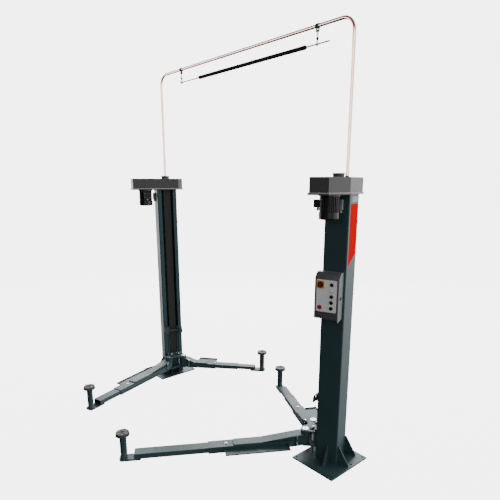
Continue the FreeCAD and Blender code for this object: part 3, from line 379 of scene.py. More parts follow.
def slab(outline, low, high):
    """An outline of x and y drawn up from low to high."""
    shape = bmesh.new()
    lower = [shape.verts.new((x, y, low)) for x, y in outline]
    upper = [shape.verts.new((x, y, high)) for x, y in outline]
    shape.faces.new(lower[::-1])
    shape.faces.new(upper)
    return stitched(shape, [lower, upper])


def brick(low, high):
    """A block between two corners."""
    return slab(rectangle(low, high), low[2], high[2])


def soften(shape, width, segments=2):
    """Rounds every edge that turns by more than 30 degrees."""
    edges = [edge for edge in shape.edges if edge.is_manifold and edge.calc_face_angle() > math.radians(30)]
    bmesh.ops.bevel(shape, geom=edges, offset=width, segments=segments, affect="EDGES", profile=0.6)
    return shape


print("a softened brick has", len(soften(brick((0, 0, 0), (1, 1, 1)), 0.1).faces), "faces")

# %% [markdown]
# ## From a drawing to a piece
# One function carries the finished drawing home, turns its faces round again where the left side is a
# mirror image, and hands it to the body that it moves with. The place goes into the mesh and the object
# stays at the origin, so a pattern on Object coordinates has the same scale everywhere.

# %% Carry, join and hand over
UP, DOWN, OUT, FRONT = (0, 0, 1), (0, 0, -1), (1, 0, 0), (0, 1, 0)


def stand(at, facing=UP):
    """Matrix that stands a drawing on a point with its upright axis along facing."""
    return Matrix.Translation(at) @ Vector(facing).to_track_quat("Z", "Y").to_matrix().to_4x4()


def moved(shape, place):
    """Moves a drawing and gives it back."""
    shape.transform(place)
    return shape


def as_mesh(shape):
    """Turns a drawing into a mesh; what is one already stays as it is."""
    if isinstance(shape, bpy.types.Mesh):
        return shape
    mesh = bpy.data.meshes.new("drawing")
    shape.to_mesh(mesh)
    shape.free()
    return mesh


def join(shapes):
    """Several drawings or meshes as one drawing."""
    whole = bmesh.new()
    for shape in shapes:
        mesh = as_mesh(shape)
        whole.from_mesh(mesh)
        bpy.data.meshes.remove(mesh)
    return whole


def turned_parts(profile, places, segments=24):
    """A turned part on each of several points, as one drawing."""
    return join([moved(lathe(profile, segments), stand(at)) for at in places])


def piece(name, shape, place, body, slot, finish=None):
    """Makes a piece that rides on a body, in the finish of its slot or in one of its own."""
    mesh = as_mesh(shape)
    mesh.name = name
    mesh.transform(place)
    if place.determinant() < 0:
        mesh.flip_normals()
    mesh.materials.clear()
    mesh.materials.append(finish or SLOT_FINISH[slot])
    mesh.shade_smooth()
    mesh.set_sharp_from_angle(angle=math.radians(35))
    obj = bpy.data.objects.new(name, mesh)
    bpy.context.scene.collection.objects.link(obj)
    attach(obj, body)
    return obj


print("the left side is a mirror image:", column_place("left").determinant() < 0)

# %% [markdown]
# ## Trees that repeat a shape
# Screws, springs, threads, weld ripples and the wires of a fan guard all follow a rule, so Geometry Nodes
# make them. The alternative is a loop of mesh code for each. A tree says the rule once, and its named
# inputs say the sizes. Each tree takes a small mesh of points or edges and ends by making its copies real
# and giving them their finish, because copies alone are lost when the model is exported.


# %% Start, end and run of a tree
def growth_tree(name, sockets):
    """A tree with a mesh input and a named input for each size, and the sockets of its group input."""
    tree = bpy.data.node_groups.new(name, "GeometryNodeTree")
    tree.interface.new_socket("Geometry", in_out="INPUT", socket_type="NodeSocketGeometry")
    for label, kind, value in [*sockets, ("Finish", "Material", None)]:
        socket = tree.interface.new_socket(label, in_out="INPUT", socket_type="NodeSocket" + kind)
        if value is not None:
            socket.default_value = value
    tree.interface.new_socket("Geometry", in_out="OUTPUT", socket_type="NodeSocketGeometry")
    return tree, tree.nodes.new("NodeGroupInput").outputs


def close_tree(tree, start, geometry):
    """Makes the copies real, gives them their finish and sends them out."""
    whole = add(tree, "GeometryNodeRealizeInstances", {"Geometry": geometry})
    dressed = add(tree, "GeometryNodeSetMaterial", {"Geometry": whole, "Material": start["Finish"]})
    add(tree, "NodeGroupOutput", {"Geometry": dressed})
    return tree


def grow(seed, tree, finish, head=None, **sizes):
    """Runs a tree on a drawing of points or edges and gives its plain mesh; sizes are the tree's inputs."""
    holder = bpy.data.objects.new("seed", as_mesh(seed))
    bpy.context.scene.collection.objects.link(holder)
    modifier = holder.modifiers.new("growth", "NODES")
    modifier.node_group = tree
    inputs = {item.name: item.identifier for item in tree.interface.items_tree if item.in_out == "INPUT"}
    modifier[inputs["Finish"]] = finish
    for label, value in sizes.items():
        modifier[inputs[label.capitalize()]] = value
    helpers = [holder]
    if head is not None:
        copied = bpy.data.objects.new("head", as_mesh(head))
        bpy.context.scene.collection.objects.link(copied)
        modifier[inputs["Head"]] = copied
        helpers.append(copied)
    graph = bpy.context.evaluated_depsgraph_get()
    grown = bpy.data.meshes.new_from_object(holder.evaluated_get(graph))
    holder.modifiers.clear()
    for helper in helpers:
        old = helper.data
        bpy.data.objects.remove(helper)
        bpy.data.meshes.remove(old)
    return grown


def spots(places):
    """Points with the direction that each one faces, for a tree that stands things on them."""
    shape = bmesh.new()
    facing = shape.verts.layers.float_vector.new("facing")
    for at, way in places:
        shape.verts.new(at)[facing] = Vector(way)
    return shape


def path(*runs):
    """Open runs of edges, one for each list of points."""
    shape = bmesh.new()
    for run in runs:
        corners = [shape.verts.new(point) for point in run]
        for start, end in zip(corners, corners[1:]):
            shape.edges.new((start, end))
    return shape


print("a path of three points has", len(path([UP, OUT, FRONT]).edges), "edges")

# %% [markdown]
# ## Welds
# The lift is welded from plate, and the beads show wherever two plates meet at a corner: along the
# gussets, round the foot of the column, in front of the fork plates and along the cranked strap on each
# arm. The tree turns its path into a curve with a round section that swells and shrinks once for each
# ripple. A bead is drawn 7 mm wide with a ripple every 5 mm, a little coarser than a real one, so that it
# shows.


# %% The tree of a weld bead
def weld_tree():
    tree, start = growth_tree("weld_bead", [("Width", "Float", 0.007), ("Pitch", "Float", 0.005)])
    line = add(tree, "GeometryNodeMeshToCurve", {"Mesh": start["Geometry"]})
    step = add(tree, "ShaderNodeMath", (start["Pitch"], 4.0), operation="DIVIDE")
    fine = add(tree, "GeometryNodeResampleCurve", {"Curve": line, "Length": step}, mode="LENGTH")
    run = add(tree, "GeometryNodeSplineParameter", out="Length")
    ripples = add(tree, "ShaderNodeMath", (run, start["Pitch"]), operation="DIVIDE")
    turns = add(tree, "ShaderNodeMath", (ripples, 2 * math.pi), operation="MULTIPLY")
    wave = add(tree, "ShaderNodeMath", (turns,), operation="SINE")
    wander = add(tree, "ShaderNodeTexNoise", {"Scale": 90.0})
    swell = add(tree, "ShaderNodeMath", (wave, wander), operation="ADD")
    size = add(tree, "ShaderNodeMapRange", (swell, -1.0, 2.0, 0.8, 1.15))
    half = add(tree, "ShaderNodeMath", (start["Width"], 0.5), operation="MULTIPLY")
    section = add(tree, "GeometryNodeCurvePrimitiveCircle", {"Resolution": 8, "Radius": half})
    sockets = {"Curve": fine, "Profile Curve": section, "Scale": size, "Fill Caps": True}
    return close_tree(tree, start, add(tree, "GeometryNodeCurveToMesh", sockets))


weld_bead = weld_tree()
print("tree:", weld_bead.name)

# %% Weld beads
PLATE_TOP = 0.016
GUSSET_TOP, GUSSET_REACH, GUSSET_HALF = 0.197, 0.111, 0.005
GUSSETS = [((-HALF_DEPTH, 0.109), 180), ((-HALF_DEPTH, -0.109), 180), ((-0.015, HALF_WIDTH), 90)]
LIP, FOLD = 0.078, 0.009
HALF_RING = [
    (HALF_DEPTH, LIP), (HALF_DEPTH, HALF_WIDTH - FOLD), (HALF_DEPTH - FOLD, HALF_WIDTH),
    (FOLD - HALF_DEPTH, HALF_WIDTH), (-HALF_DEPTH, HALF_WIDTH - FOLD),
]
FACE_U = 0.1285
FORK_SEAMS = (0.135, 0.287)
STRAPS = {"long": (0.445, 0.720), "short": (0.170, 0.350)}
STRAP_HALF, STRAP_CUT, STRAP_GAP = 0.0555, 0.0125, 0.0005
ARM_TOP = 0.200


def gusset_runs():
    """Both sides of each gusset, down the column and out along the base plate."""
    runs = []
    for (u, v), turn in GUSSETS:
        place = Matrix.Translation((u, v, 0)) @ Matrix.Rotation(math.radians(turn), 4, "Z")
        for side in (-GUSSET_HALF, GUSSET_HALF):
            corner = [(0, side, GUSSET_TOP), (0, side, PLATE_TOP), (GUSSET_REACH, side, PLATE_TOP)]
            runs.append([place @ Vector(point) for point in corner])
    return runs


def strap_run(kind):
    """Along one side of the cranked strap, round its cut corners and back along the other side."""
    bend, end = STRAPS[kind]
    flat = [(bend, STRAP_HALF), (end + STRAP_GAP - STRAP_CUT, STRAP_HALF)]
    flat.append((end + STRAP_GAP, STRAP_HALF - STRAP_CUT))
    flat = [(x, -y) for x, y in flat] + flat[::-1]
    return [(x, y, ARM_TOP + 0.0002) for x, y in flat]


def weld(name, runs, home, body, **sizes):
    """Lays a bead along each run, in the paint of the plates."""
    piece(name, grow(path(*runs), weld_bead, green_grey_paint, **sizes), home, body, "column_paint")


for side in SIDES:
    foot = [(u, v, PLATE_TOP) for u, v in HALF_RING + [(u, -v) for u, v in HALF_RING[::-1]]]
    weld(side + "_foot_welds", [foot, *gusset_runs()], column_place(side), "frame")
    fork = [[(FACE_U, -PIVOT_V, z), (FACE_U, PIVOT_V, z)] for z in FORK_SEAMS]
    weld(side + "_fork_welds", fork, column_place(side), side + "_lift", width=0.009)
    for kind in ARM_HAND:
        arm = f"{side}_{kind}"
        weld(arm + "_strap_weld", [strap_run(kind)], arm_place(side, kind), arm + "_swing", width=0.006)

# %% [markdown]
# ## Screws
# The cap is held by small screws through its rim, each motor by four bolts from below, and the terminal
# lid by four more. Bolts with washers close the upstand of the face plate and the stop of each arm. The
# tree copies one head to every place and turns each about its own axis by chance, because nobody lines up
# the flats of hexagons. The holes for the floor anchors stay empty, as they are until the lift is set up.


# %% The tree and the heads of screws
def screw_tree():
    tree, start = growth_tree("screws", [("Head", "Object", None), ("Seed", "Int", 3)])
    which = {"Name": "facing"}
    way = add(tree, "GeometryNodeInputNamedAttribute", which, "Attribute", data_type="FLOAT_VECTOR")
    upright = add(tree, "FunctionNodeAlignRotationToVector", {"Vector": way}, axis="Z")
    chance = {3: 2 * math.pi, "Seed": start["Seed"]}  # input 3 is the largest number it may draw
    angle = add(tree, "FunctionNodeRandomValue", chance, 1, data_type="FLOAT")
    spin = add(tree, "FunctionNodeAxisAngleToRotation", {"Angle": angle})
    sockets = {"Rotation": upright, "Rotate By": spin}
    turned = add(tree, "FunctionNodeRotateRotation", sockets, rotation_space="LOCAL")
    head = add(tree, "GeometryNodeObjectInfo", {"Object": start["Head"]}, "Geometry")
    sockets = {"Points": start["Geometry"], "Instance": head, "Rotation": turned}
    return close_tree(tree, start, add(tree, "GeometryNodeInstanceOnPoints", sockets))


def hex_head(across, height, washer=1.35):
    """Bolt head over a washer: across is the distance between two flats."""
    corner = across / math.sqrt(3)
    turns = [math.radians(a) for a in range(0, 360, 60)]
    outline = [(corner * math.cos(a), corner * math.sin(a)) for a in turns]
    body = soften(slab(outline, height * 0.2, height), height * 0.12, 1)
    disc = lathe([(0, 0), (corner * washer, 0), (corner * washer, height * 0.22), (0, height * 0.22)], 20)
    return join([body, disc])


def pan_head(radius, height):
    """Low domed screw head with a round socket."""
    rim = [(0, 0), (radius, 0), (radius, height * 0.45), (radius * 0.8, height * 0.85)]
    rim += [(radius * 0.55, height), (radius * 0.5, height * 0.5), (0, height * 0.45)]
    return lathe(rim, 18)


def drive(name, places, head, home, body):
    """Stands a zinc plated head on each place."""
    piece(name, grow(spots(places), screws, zinc_plate, head=head), home, body, "zinc")


screws = screw_tree()
print("tree:", screws.name)

# %% Screws on columns, carriages and arms
CAP_PLAN = [
    (-0.075, -0.215), (0.075, -0.215), (0.130, -0.150), (0.130, 0.433), (-0.035, 0.433), (-0.130, 0.195),
    (-0.130, -0.150),
]
RIM_TOP, RIM_SCREW_GAP, LONG_EDGE = COLUMN_TOP + 0.018, 0.0045, 0.3
MOTOR_RING, MOTOR_FLANGE = 0.0835, 2.534
LID_PLACES = [((0.142, MOTOR_V + v, z), OUT) for v in (-0.034, 0.034) for z in (2.449, 2.502)]
FACE_PLACES = [((FACE_U, v, 0.299), OUT) for v in (-0.088, -0.032, 0.032, 0.088)]
ARM_BOLT = {"long": 0.788, "short": 0.455}


def rim_places():
    """On the rim of the cap: three screws along a long edge and one in the middle of a short one."""
    places = []
    for start, end in zip(CAP_PLAN, CAP_PLAN[1:] + CAP_PLAN[:1]):
        run = Vector(end) - Vector(start)
        outward = Vector((run.y, -run.x)).normalized() * RIM_SCREW_GAP
        for share in (0.15, 0.5, 0.85) if run.length > LONG_EDGE else (0.5,):
            at = Vector(start) + run * share + outward
            places.append(((at.x, at.y, RIM_TOP), UP))
    return places


def motor_places():
    """Four places on the bolt circle under the motor's flange."""
    turns = [math.radians(a) for a in (45, 135, 225, 315)]
    circle = [(MOTOR_RING * math.cos(a), MOTOR_RING * math.sin(a)) for a in turns]
    return [((MOTOR_U + u, MOTOR_V + v, MOTOR_FLANGE), DOWN) for u, v in circle]


for side in SIDES:
    home = column_place(side)
    drive(side + "_cap_screws", rim_places() + LID_PLACES, pan_head(0.004, 0.003), home, "frame")
    drive(side + "_motor_bolts", motor_places(), hex_head(0.007, 0.005, 1.0), home, "frame")
    drive(side + "_face_bolts", FACE_PLACES, hex_head(0.013, 0.008, 1.2), home, side + "_lift")
    for kind, x in ARM_BOLT.items():
        arm = f"{side}_{kind}"
        stop = [((x, 0, ARM_TOP), UP)]
        drive(arm + "_stop_bolt", stop, hex_head(0.018, 0.009), arm_place(side, kind), arm + "_swing")
print("rim screws:", len(rim_places()), "on each cap")

# %% [markdown]
# ## Hem of the caps
# The rim of each cap ends in a narrow hem, painted pale all round as a highlight where the rim catches
# the light. It follows the cap's outline at a fixed distance, so it is drawn between two offsets of that
# outline, with sharp corners as on the cap.

# %% Cap hems
HEM_LOW, HEM_HIGH = COLUMN_TOP + 0.011, COLUMN_TOP + 0.0185
HEM_INSIDE, HEM_OUTSIDE = 0.0082, 0.0100


def offset_plan(gap):
    """The outline of the cap with every side moved outward by a gap."""
    plan = [Vector(point) for point in CAP_PLAN]
    corners = []
    for before, point, after in zip(plan[-1:] + plan[:-1], plan, plan[1:] + plan[:1]):
        first = (point - before).normalized()
        second = (after - point).normalized()
        outward = Vector((first.y, -first.x)) + Vector((second.y, -second.x))
        corners.append(point + outward * gap / (1 + first.dot(second)))
    return corners


def cap_hem():
    """A closed band with a rectangular section."""
    section = [(HEM_INSIDE, HEM_LOW), (HEM_OUTSIDE, HEM_LOW)]
    section += [(HEM_OUTSIDE, HEM_HIGH), (HEM_INSIDE, HEM_HIGH)]
    shape = bmesh.new()
    loops = [[shape.verts.new((*corner, z)) for corner in offset_plan(gap)] for gap, z in section]
    return soften(stitched(shape, loops + loops[:1]), 0.0006, 1)


for side in SIDES:
    # The hem's pale colour is a painted highlight.
    piece(side + "_cap_hem", cap_hem(), column_place(side), "frame", "cap_grey", hem_highlight_paint)
print("hem:", round(HEM_HIGH - HEM_LOW, 4), "m high")

# %% [markdown]
# ## Springs, locks and pins
# Under each pin head sits a toothed block that holds the arm when the lift is up. A rod runs down from it
# to the floor, a spring on the rod pushes the block back into its teeth, and a bright knob on top lets a
# hand pull it. The swing pins carry a grease nipple. Each arm has two more sprung rods in the ears at its
# root. A coil is a spiral with a round or a four sided section, so the same tree makes springs and screw
# threads.


# %% The tree of a coil
def coil_tree():
    sizes = [("Radius", "Float", 0.01), ("Pitch", "Float", 0.005), ("Turns", "Float", 8.0)]
    sizes += [("Wire", "Float", 0.001), ("Sides", "Int", 6)]
    tree, start = growth_tree("coil", sizes)
    height = add(tree, "ShaderNodeMath", (start["Pitch"], start["Turns"]), operation="MULTIPLY")
    sockets = {"Resolution": 28, "Rotations": start["Turns"], "Start Radius": start["Radius"]}
    sockets.update({"End Radius": start["Radius"], "Height": height})
    spiral = add(tree, "GeometryNodeCurveSpiral", sockets)
    level = add(tree, "GeometryNodeSetCurveNormal", {"Curve": spiral}, mode="Z_UP")
    sockets = {"Resolution": start["Sides"], "Radius": start["Wire"]}
    section = add(tree, "GeometryNodeCurvePrimitiveCircle", sockets)
    sockets = {"Curve": level, "Profile Curve": section, "Fill Caps": True}
    wire = add(tree, "GeometryNodeCurveToMesh", sockets)
    sockets = {"Points": start["Geometry"], "Instance": wire}
    return close_tree(tree, start, add(tree, "GeometryNodeInstanceOnPoints", sockets))


def springs(name, feet, home, body, sizes):
    """A zinc plated spring on each foot."""
    piece(name, grow(spots([(foot, UP) for foot in feet]), coil, zinc_plate, **sizes), home, body, "zinc")


coil = coil_tree()
print("tree:", coil.name)

# %% Locks, nipples and ear rods
HANDS = (1, -1)
LOCK_BACK, LOCK_IN = 0.0630, 0.0493
LOCK_AT = [(PIVOT_U - LOCK_BACK, hand * (PIVOT_V - LOCK_IN)) for hand in HANDS]
KNOB_FOOT, LOCK_SPRING_FOOT, PIN_TOP = 0.2965, 0.149, 0.293
EAR_X, EAR_Y, EAR_SPRING_FOOT = 0.095, 0.050, 0.152
LOCK_SPRING = {"radius": 0.0092, "pitch": 0.0062, "turns": 19.0, "wire": 0.0014}
EAR_SPRING = {"radius": 0.0088, "pitch": 0.0046, "turns": 7.5, "wire": 0.0013}
KNOB = [
    (0, -0.0003), (0.0092, 0.0), (0.0112, 0.001), (0.012, 0.004), (0.0112, 0.010), (0.0085, 0.0135),
    (0, 0.0145),
]
NIPPLE = [
    (0, 0), (0.0075, 0), (0.0075, 0.002), (0.004, 0.003), (0.0032, 0.007), (0.0045, 0.009), (0.003, 0.012),
    (0, 0.0125),
]
EAR_SLEEVE = [
    (0, 0.213), (0.0078, 0.214), (0.0098, 0.2145), (0.0098, 0.2185), (0.0078, 0.2195), (0.0078, 0.2345),
    (0.0108, 0.2352), (0.0122, 0.2372), (0.0122, 0.2435), (0.0100, 0.2462), (0, 0.2475),
]
for side in SIDES:
    home, carriage = column_place(side), side + "_lift"
    knobs = turned_parts(KNOB, [(u, v, KNOB_FOOT) for u, v in LOCK_AT])
    piece(side + "_lock_knobs", knobs, home, carriage, "zinc")
    feet = [(u, v, LOCK_SPRING_FOOT) for u, v in LOCK_AT]
    springs(side + "_lock_springs", feet, home, carriage, LOCK_SPRING)
    nipples = turned_parts(NIPPLE, [(PIVOT_U, hand * PIVOT_V, PIN_TOP) for hand in HANDS], 20)
    piece(side + "_pin_nipples", nipples, home, carriage, "zinc")
    for kind in ARM_HAND:
        arm, home = f"{side}_{kind}", arm_place(side, kind)
        sleeves = turned_parts(EAR_SLEEVE, [(EAR_X, hand * EAR_Y, 0) for hand in HANDS])
        piece(arm + "_ear_rods", sleeves, home, arm + "_swing", "zinc")
        feet = [(EAR_X, hand * EAR_Y, EAR_SPRING_FOOT) for hand in HANDS]
        springs(arm + "_ear_springs", feet, home, arm + "_swing", EAR_SPRING)

# %% [markdown]
# ## Rubber tips on the guards
# The bent strips at the top of the carriage keep a car door off the steel. Each one ends in a black
# rubber boot that is pushed over the strip.

# %% Guard boots
BOOT_BACK, BOOT_FRONT = 0.1430, 0.1580
BOOT_MIDDLE, BOOT_HALF = 0.099, 0.0250
BOOT_FOOT, BOOT_TOP = 0.5990, 0.6400
for side in SIDES:
    boots = []
    for hand in HANDS:
        low = (BOOT_BACK, hand * BOOT_MIDDLE - BOOT_HALF, BOOT_FOOT)
        high = (BOOT_FRONT, hand * BOOT_MIDDLE + BOOT_HALF, BOOT_TOP)
        boots.append(soften(brick(low, high), 0.004, 3))
    piece(side + "_guard_boots", join(boots), column_place(side), side + "_lift", "pad_rubber")
print("boots:", len(SIDES) * len(HANDS))

# %% [markdown]
# ## Screw posts under the pads
# Each pad stands on a steel post that is screwed up to the sill of the car. Its lower end has a rolled
# thread, its upper part is a plain sleeve with a cup on top. The plain post of the frame is replaced by a
# turned core, and the coil tree winds the thread round it: a four sided section whose outer corner is the
# crest. The pitch is 5 mm.

# %% Threaded posts
POST_FOOT = {"long": 0.1145, "short": 0.120}
THREAD_RADIUS, THREAD_PITCH, THREAD_TOP = 0.0303, 0.005, 0.205
SLEEVE = [
    (THREAD_RADIUS, THREAD_TOP - 0.001), (0.0320, THREAD_TOP + 0.001), (0.0320, 0.3640), (0.0350, 0.3685),
    (0.0480, 0.3715), (0.0630, 0.3720), (0.0650, 0.3735), (0.0650, 0.3828), (0.0638, 0.3840),
    (0.0614, 0.3840), (0.0610, 0.3836), (0, 0.3836),
]
for side in SIDES:
    for kind, foot in POST_FOOT.items():
        arm = f"{side}_{kind}"
        home = arm_place(side, kind) @ Matrix.Translation((ARM_POST[side, kind], 0, 0))
        core = lathe([(0, foot), (0.0280, foot), (THREAD_RADIUS, foot + 0.002), *SLEEVE], 48)
        turns = (THREAD_TOP - foot - 0.006) / THREAD_PITCH
        sizes = {"radius": THREAD_RADIUS, "pitch": THREAD_PITCH, "turns": turns, "wire": 0.0017, "sides": 4}
        thread = grow(spots([((0, 0, foot + 0.003), UP)]), coil, green_grey_paint, **sizes)
        post = piece(arm + "_threaded_post", join([core, thread]), home, arm + "_screw", "column_paint")
        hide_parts(arm + "_post")
print("threads:", round(turns, 1), "turns on the last one")

# %% [markdown]
# ## Film on the back of the columns
# A red film covers the upper part of each column's back, cut off at a slant below. Above it sits a small
# pale label. Both are bare. They are 0.4 and 0.3 mm thick here, several times the real ones, so that
# their edges catch light.

# %% Films
# A drawing's x, y and height become v, z and u on the column's back.
BACK = Matrix(((0, 0, 1, -HALF_DEPTH), (1, 0, 0, 0), (0, 1, 0, 0), (0, 0, 0, 1)))
FILM_START, FILM_END = -0.114, 0.093
SLANT_LOW, SLANT_HIGH, FILM_TOP = 1.933, 2.040, 2.466
FILM = [(FILM_START, SLANT_HIGH), (FILM_END, SLANT_LOW), (FILM_END, FILM_TOP), (FILM_START, FILM_TOP)]
LABEL = rectangle((FILM_START, 2.482), (0.060, 2.530))
for side in SIDES:
    home = column_place(side) @ BACK
    piece(side + "_red_film", soften(slab(FILM, -0.0004, 0), 0.0001, 1), home, "frame", "red", red_film)
    label = soften(slab(LABEL, -0.0003, 0), 0.0001, 1)
    piece(side + "_pale_label", label, home, "frame", "panel_silver", pale_film)
print("film:", round(FILM_TOP - SLANT_LOW, 3), "m at its longest edge")

# %% [markdown]
# ## Motor fittings
# A motor cooled by its own fan has a wire guard under the fan cover: rings that grow by one gap each,
# held by three bars. A cable gland hangs under the terminal box, and a light grey junction box sits on
# the column beside the motor.


# %% The tree of a fan guard
def guard_tree():
    sizes = [("Rings", "Int", 5), ("Gap", "Float", 0.013), ("Wire", "Float", 0.0013)]
    tree, start = growth_tree("fan_guard", sizes)
    centres = add(tree, "GeometryNodePoints", {"Count": start["Rings"]})
    unit = add(tree, "GeometryNodeCurvePrimitiveCircle", {"Resolution": 48, "Radius": 1.0})
    order = add(tree, "GeometryNodeInputIndex")
    count = add(tree, "ShaderNodeMath", (order, 1.0), operation="ADD")
    size = add(tree, "ShaderNodeMath", (count, start["Gap"]), operation="MULTIPLY")
    sockets = {"Points": centres, "Instance": unit, "Scale": size}
    rings = add(tree, "GeometryNodeInstanceOnPoints", sockets)
    loops = add(tree, "GeometryNodeRealizeInstances", {"Geometry": rings})
    sockets = {"Resolution": 6, "Radius": start["Wire"]}
    section = add(tree, "GeometryNodeCurvePrimitiveCircle", sockets)
    wires = add(tree, "GeometryNodeCurveToMesh", {"Curve": loops, "Profile Curve": section})
    sockets = {"Points": start["Geometry"], "Instance": wires}
    return close_tree(tree, start, add(tree, "GeometryNodeInstanceOnPoints", sockets))


fan_guard = guard_tree()
print("tree:", fan_guard.name)

# %% Guard, gland and junction box
FAN_FOOT, SPOKE_REACH = 2.348, 0.068
GLAND = [
    (0, 0), (0.009, 0), (0.0105, 0.002), (0.0105, 0.009), (0.0125, 0.010), (0.0125, 0.017), (0.0095, 0.018),
    (0.0095, 0.026), (0, 0.026),
]
MOTOR_GLAND, JUNCTION_GLAND = (0.118, MOTOR_V, 2.417), (-0.037, 0.139, 2.394)
JUNCTION_CASE = (-0.056, HALF_WIDTH, 2.418), (-0.018, 0.152, 2.506)
JUNCTION_LID = (-0.054, 0.150, 2.420), (-0.020, 0.156, 2.504)


def guard_spoke(turn):
    """One bar right across the guard."""
    low, high = (-SPOKE_REACH, -0.0015, FAN_FOOT - 0.0022), (SPOKE_REACH, 0.0015, FAN_FOOT - 0.0004)
    place = Matrix.Translation((MOTOR_U, MOTOR_V, 0)) @ Matrix.Rotation(math.radians(turn), 4, "Z")
    return moved(brick(low, high), place)


for side in SIDES:
    home = column_place(side)
    rings = grow(spots([((MOTOR_U, MOTOR_V, FAN_FOOT - 0.0015), UP)]), fan_guard, motor_enamel)
    spokes = join([guard_spoke(turn) for turn in (0, 60, 120)])
    piece(side + "_fan_guard", join([rings, spokes]), home, "frame", "motor_black")
    gland = turned_parts(GLAND, [MOTOR_GLAND])
    piece(side + "_motor_gland", gland, home, "frame", "box_grey", gland_plastic)
    case, lid = soften(brick(*JUNCTION_CASE), 0.004), soften(brick(*JUNCTION_LID), 0.002)
    junction = join([case, lid, turned_parts(GLAND, [JUNCTION_GLAND], 20)])
    piece(side + "_junction_box", junction, home, "frame", "box_grey", gland_plastic)
print("junction boxes:", len(SIDES))

# %% [markdown]
# ## Control box
# The box has a charcoal front that runs up over its slope, a silver panel, a yellow switch plate with a
# red knob, a lamp in a chrome ring, four black keys and a red stop key. The frame has the plain forms.
# What is added here is the cover and the thin plate on the side, the rims round the keys, the knob's
# ring, the dome of the lamp, the latch on the side, the panel's screws and the glands below.

# %% Places on the control box
BOX_PLACE = column_place("right")
BOX_SIDE, PANEL_FACE, KNOB_FACE = -0.088, 0.243, 0.2635
PANEL_SIDE, PANEL_WIDTH, PANEL_TOP = BOX_SIDE + 0.0155, 0.185, 1.833
KEY_U, STOP_U = PANEL_SIDE + 0.046, PANEL_SIDE + PANEL_WIDTH - 0.034
KEY_DROP, KEY_PITCH = 0.040, 0.052
KEY_Z = [PANEL_TOP - KEY_DROP - KEY_PITCH * step for step in range(5)]
SWITCH_HALF = 0.034
SWITCH_U = PANEL_SIDE + PANEL_WIDTH - 0.0045 - SWITCH_HALF
SWITCH_Z = PANEL_TOP - 0.009 - SWITCH_HALF


def on_panel(shape, u, z, v=PANEL_FACE):
    """Stands a drawing on the panel, facing forward."""
    return moved(shape, stand((u, v, z), FRONT))


print("keys:", round(KEY_Z[0] - KEY_Z[-1], 3), "m from the top one to the lowest")

# %% Cover, side plate and latch
# Both sections are drawn as the box is seen from the side: x and y become v and z.
PROFILE = Matrix(((0, 0, 1, 0), (1, 0, 0, 0), (0, 1, 0, 0), (0, 0, 0, 1)))
COVER = [
    (0.226, 1.4835), (0.2418, 1.4835), (0.2418, 1.8506), (0.1912, 1.8915), (0.1780, 1.8915),
    (0.1780, 1.8900), (0.1895, 1.8900), (0.2400, 1.8499), (0.2400, 1.4850), (0.226, 1.4850),
]
SIDE_PLATE = [
    (0.130, 1.474), (0.232, 1.458), (0.2385, 1.464), (0.2385, 1.846), (0.190, 1.8865), (0.130, 1.8865),
]
cover = soften(moved(slab(COVER, BOX_SIDE - 0.0008, 0.1288), PROFILE), 0.0005, 1)
piece("box_cover", cover, BOX_PLACE, "frame", "key_black", cover_plastic)
plate = soften(moved(slab(SIDE_PLATE, BOX_SIDE - 0.0018, BOX_SIDE), PROFILE), 0.0006, 1)
piece("box_side_plate", plate, BOX_PLACE, "frame", "box_grey")
latch = soften(brick((-0.0945, 0.140, 1.664), (-0.0893, 0.205, 1.673)), 0.0015)
hasp = soften(brick((-0.0975, 0.184, 1.657), (-0.0893, 0.206, 1.680)), 0.002)
piece("side_latch", join([latch, hasp]), BOX_PLACE, "frame", "key_black")
print("cover:", len(COVER), "corners in its section")

# %% Rims, knob ring and lamp
SWITCH_RIM = [(0.0222, 0.006), (0.0275, 0.006), (0.0275, 0.010), (0.0260, 0.0115), (0.0222, 0.0115)]
KNOB_RING = [(0.0125, 0), (0.0226, 0), (0.0226, 0.0010), (0.0220, 0.0016), (0.0125, 0.0016)]
CHROME = [(0.0131, 0), (0.0172, 0), (0.0172, 0.004), (0.0158, 0.0065), (0.0131, 0.0072)]
LENS = [(0, 0.009), (0.0122, 0.009), (0.0126, 0.0105), (0.0110, 0.0128), (0.0070, 0.0144), (0, 0.0150)]
KEY_STEPS, LAMP_STEP = (0, 2, 3, 4), 1


def key_rim(radius):
    """Raised ring round a push key; the key slides inside it."""
    inner, outer = radius + 0.0004, radius + 0.0035
    return ring([(inner, 0), (outer, 0), (outer, 0.0025), (outer - 0.001, 0.0038), (inner, 0.0038)], 36)


rims = [on_panel(key_rim(0.013), KEY_U, KEY_Z[step]) for step in KEY_STEPS]
rims.append(on_panel(key_rim(0.017), STOP_U, KEY_Z[4]))
rims.append(on_panel(ring(SWITCH_RIM, 40), SWITCH_U, SWITCH_Z))
piece("key_rims", join(rims), BOX_PLACE, "frame", "key_black")
disc = on_panel(ring(KNOB_RING, 40), SWITCH_U, SWITCH_Z, KNOB_FACE)
piece("knob_ring", disc, BOX_PLACE, "main_switch", "key_black")
piece("lamp_ring", on_panel(ring(CHROME, 36), KEY_U, KEY_Z[LAMP_STEP]), BOX_PLACE, "frame", "zinc")
piece("lamp_lens", on_panel(lathe(LENS, 32), KEY_U, KEY_Z[LAMP_STEP]), BOX_PLACE, "frame", "lamp_white")
print("rims:", len(rims), "around the keys and the switch")

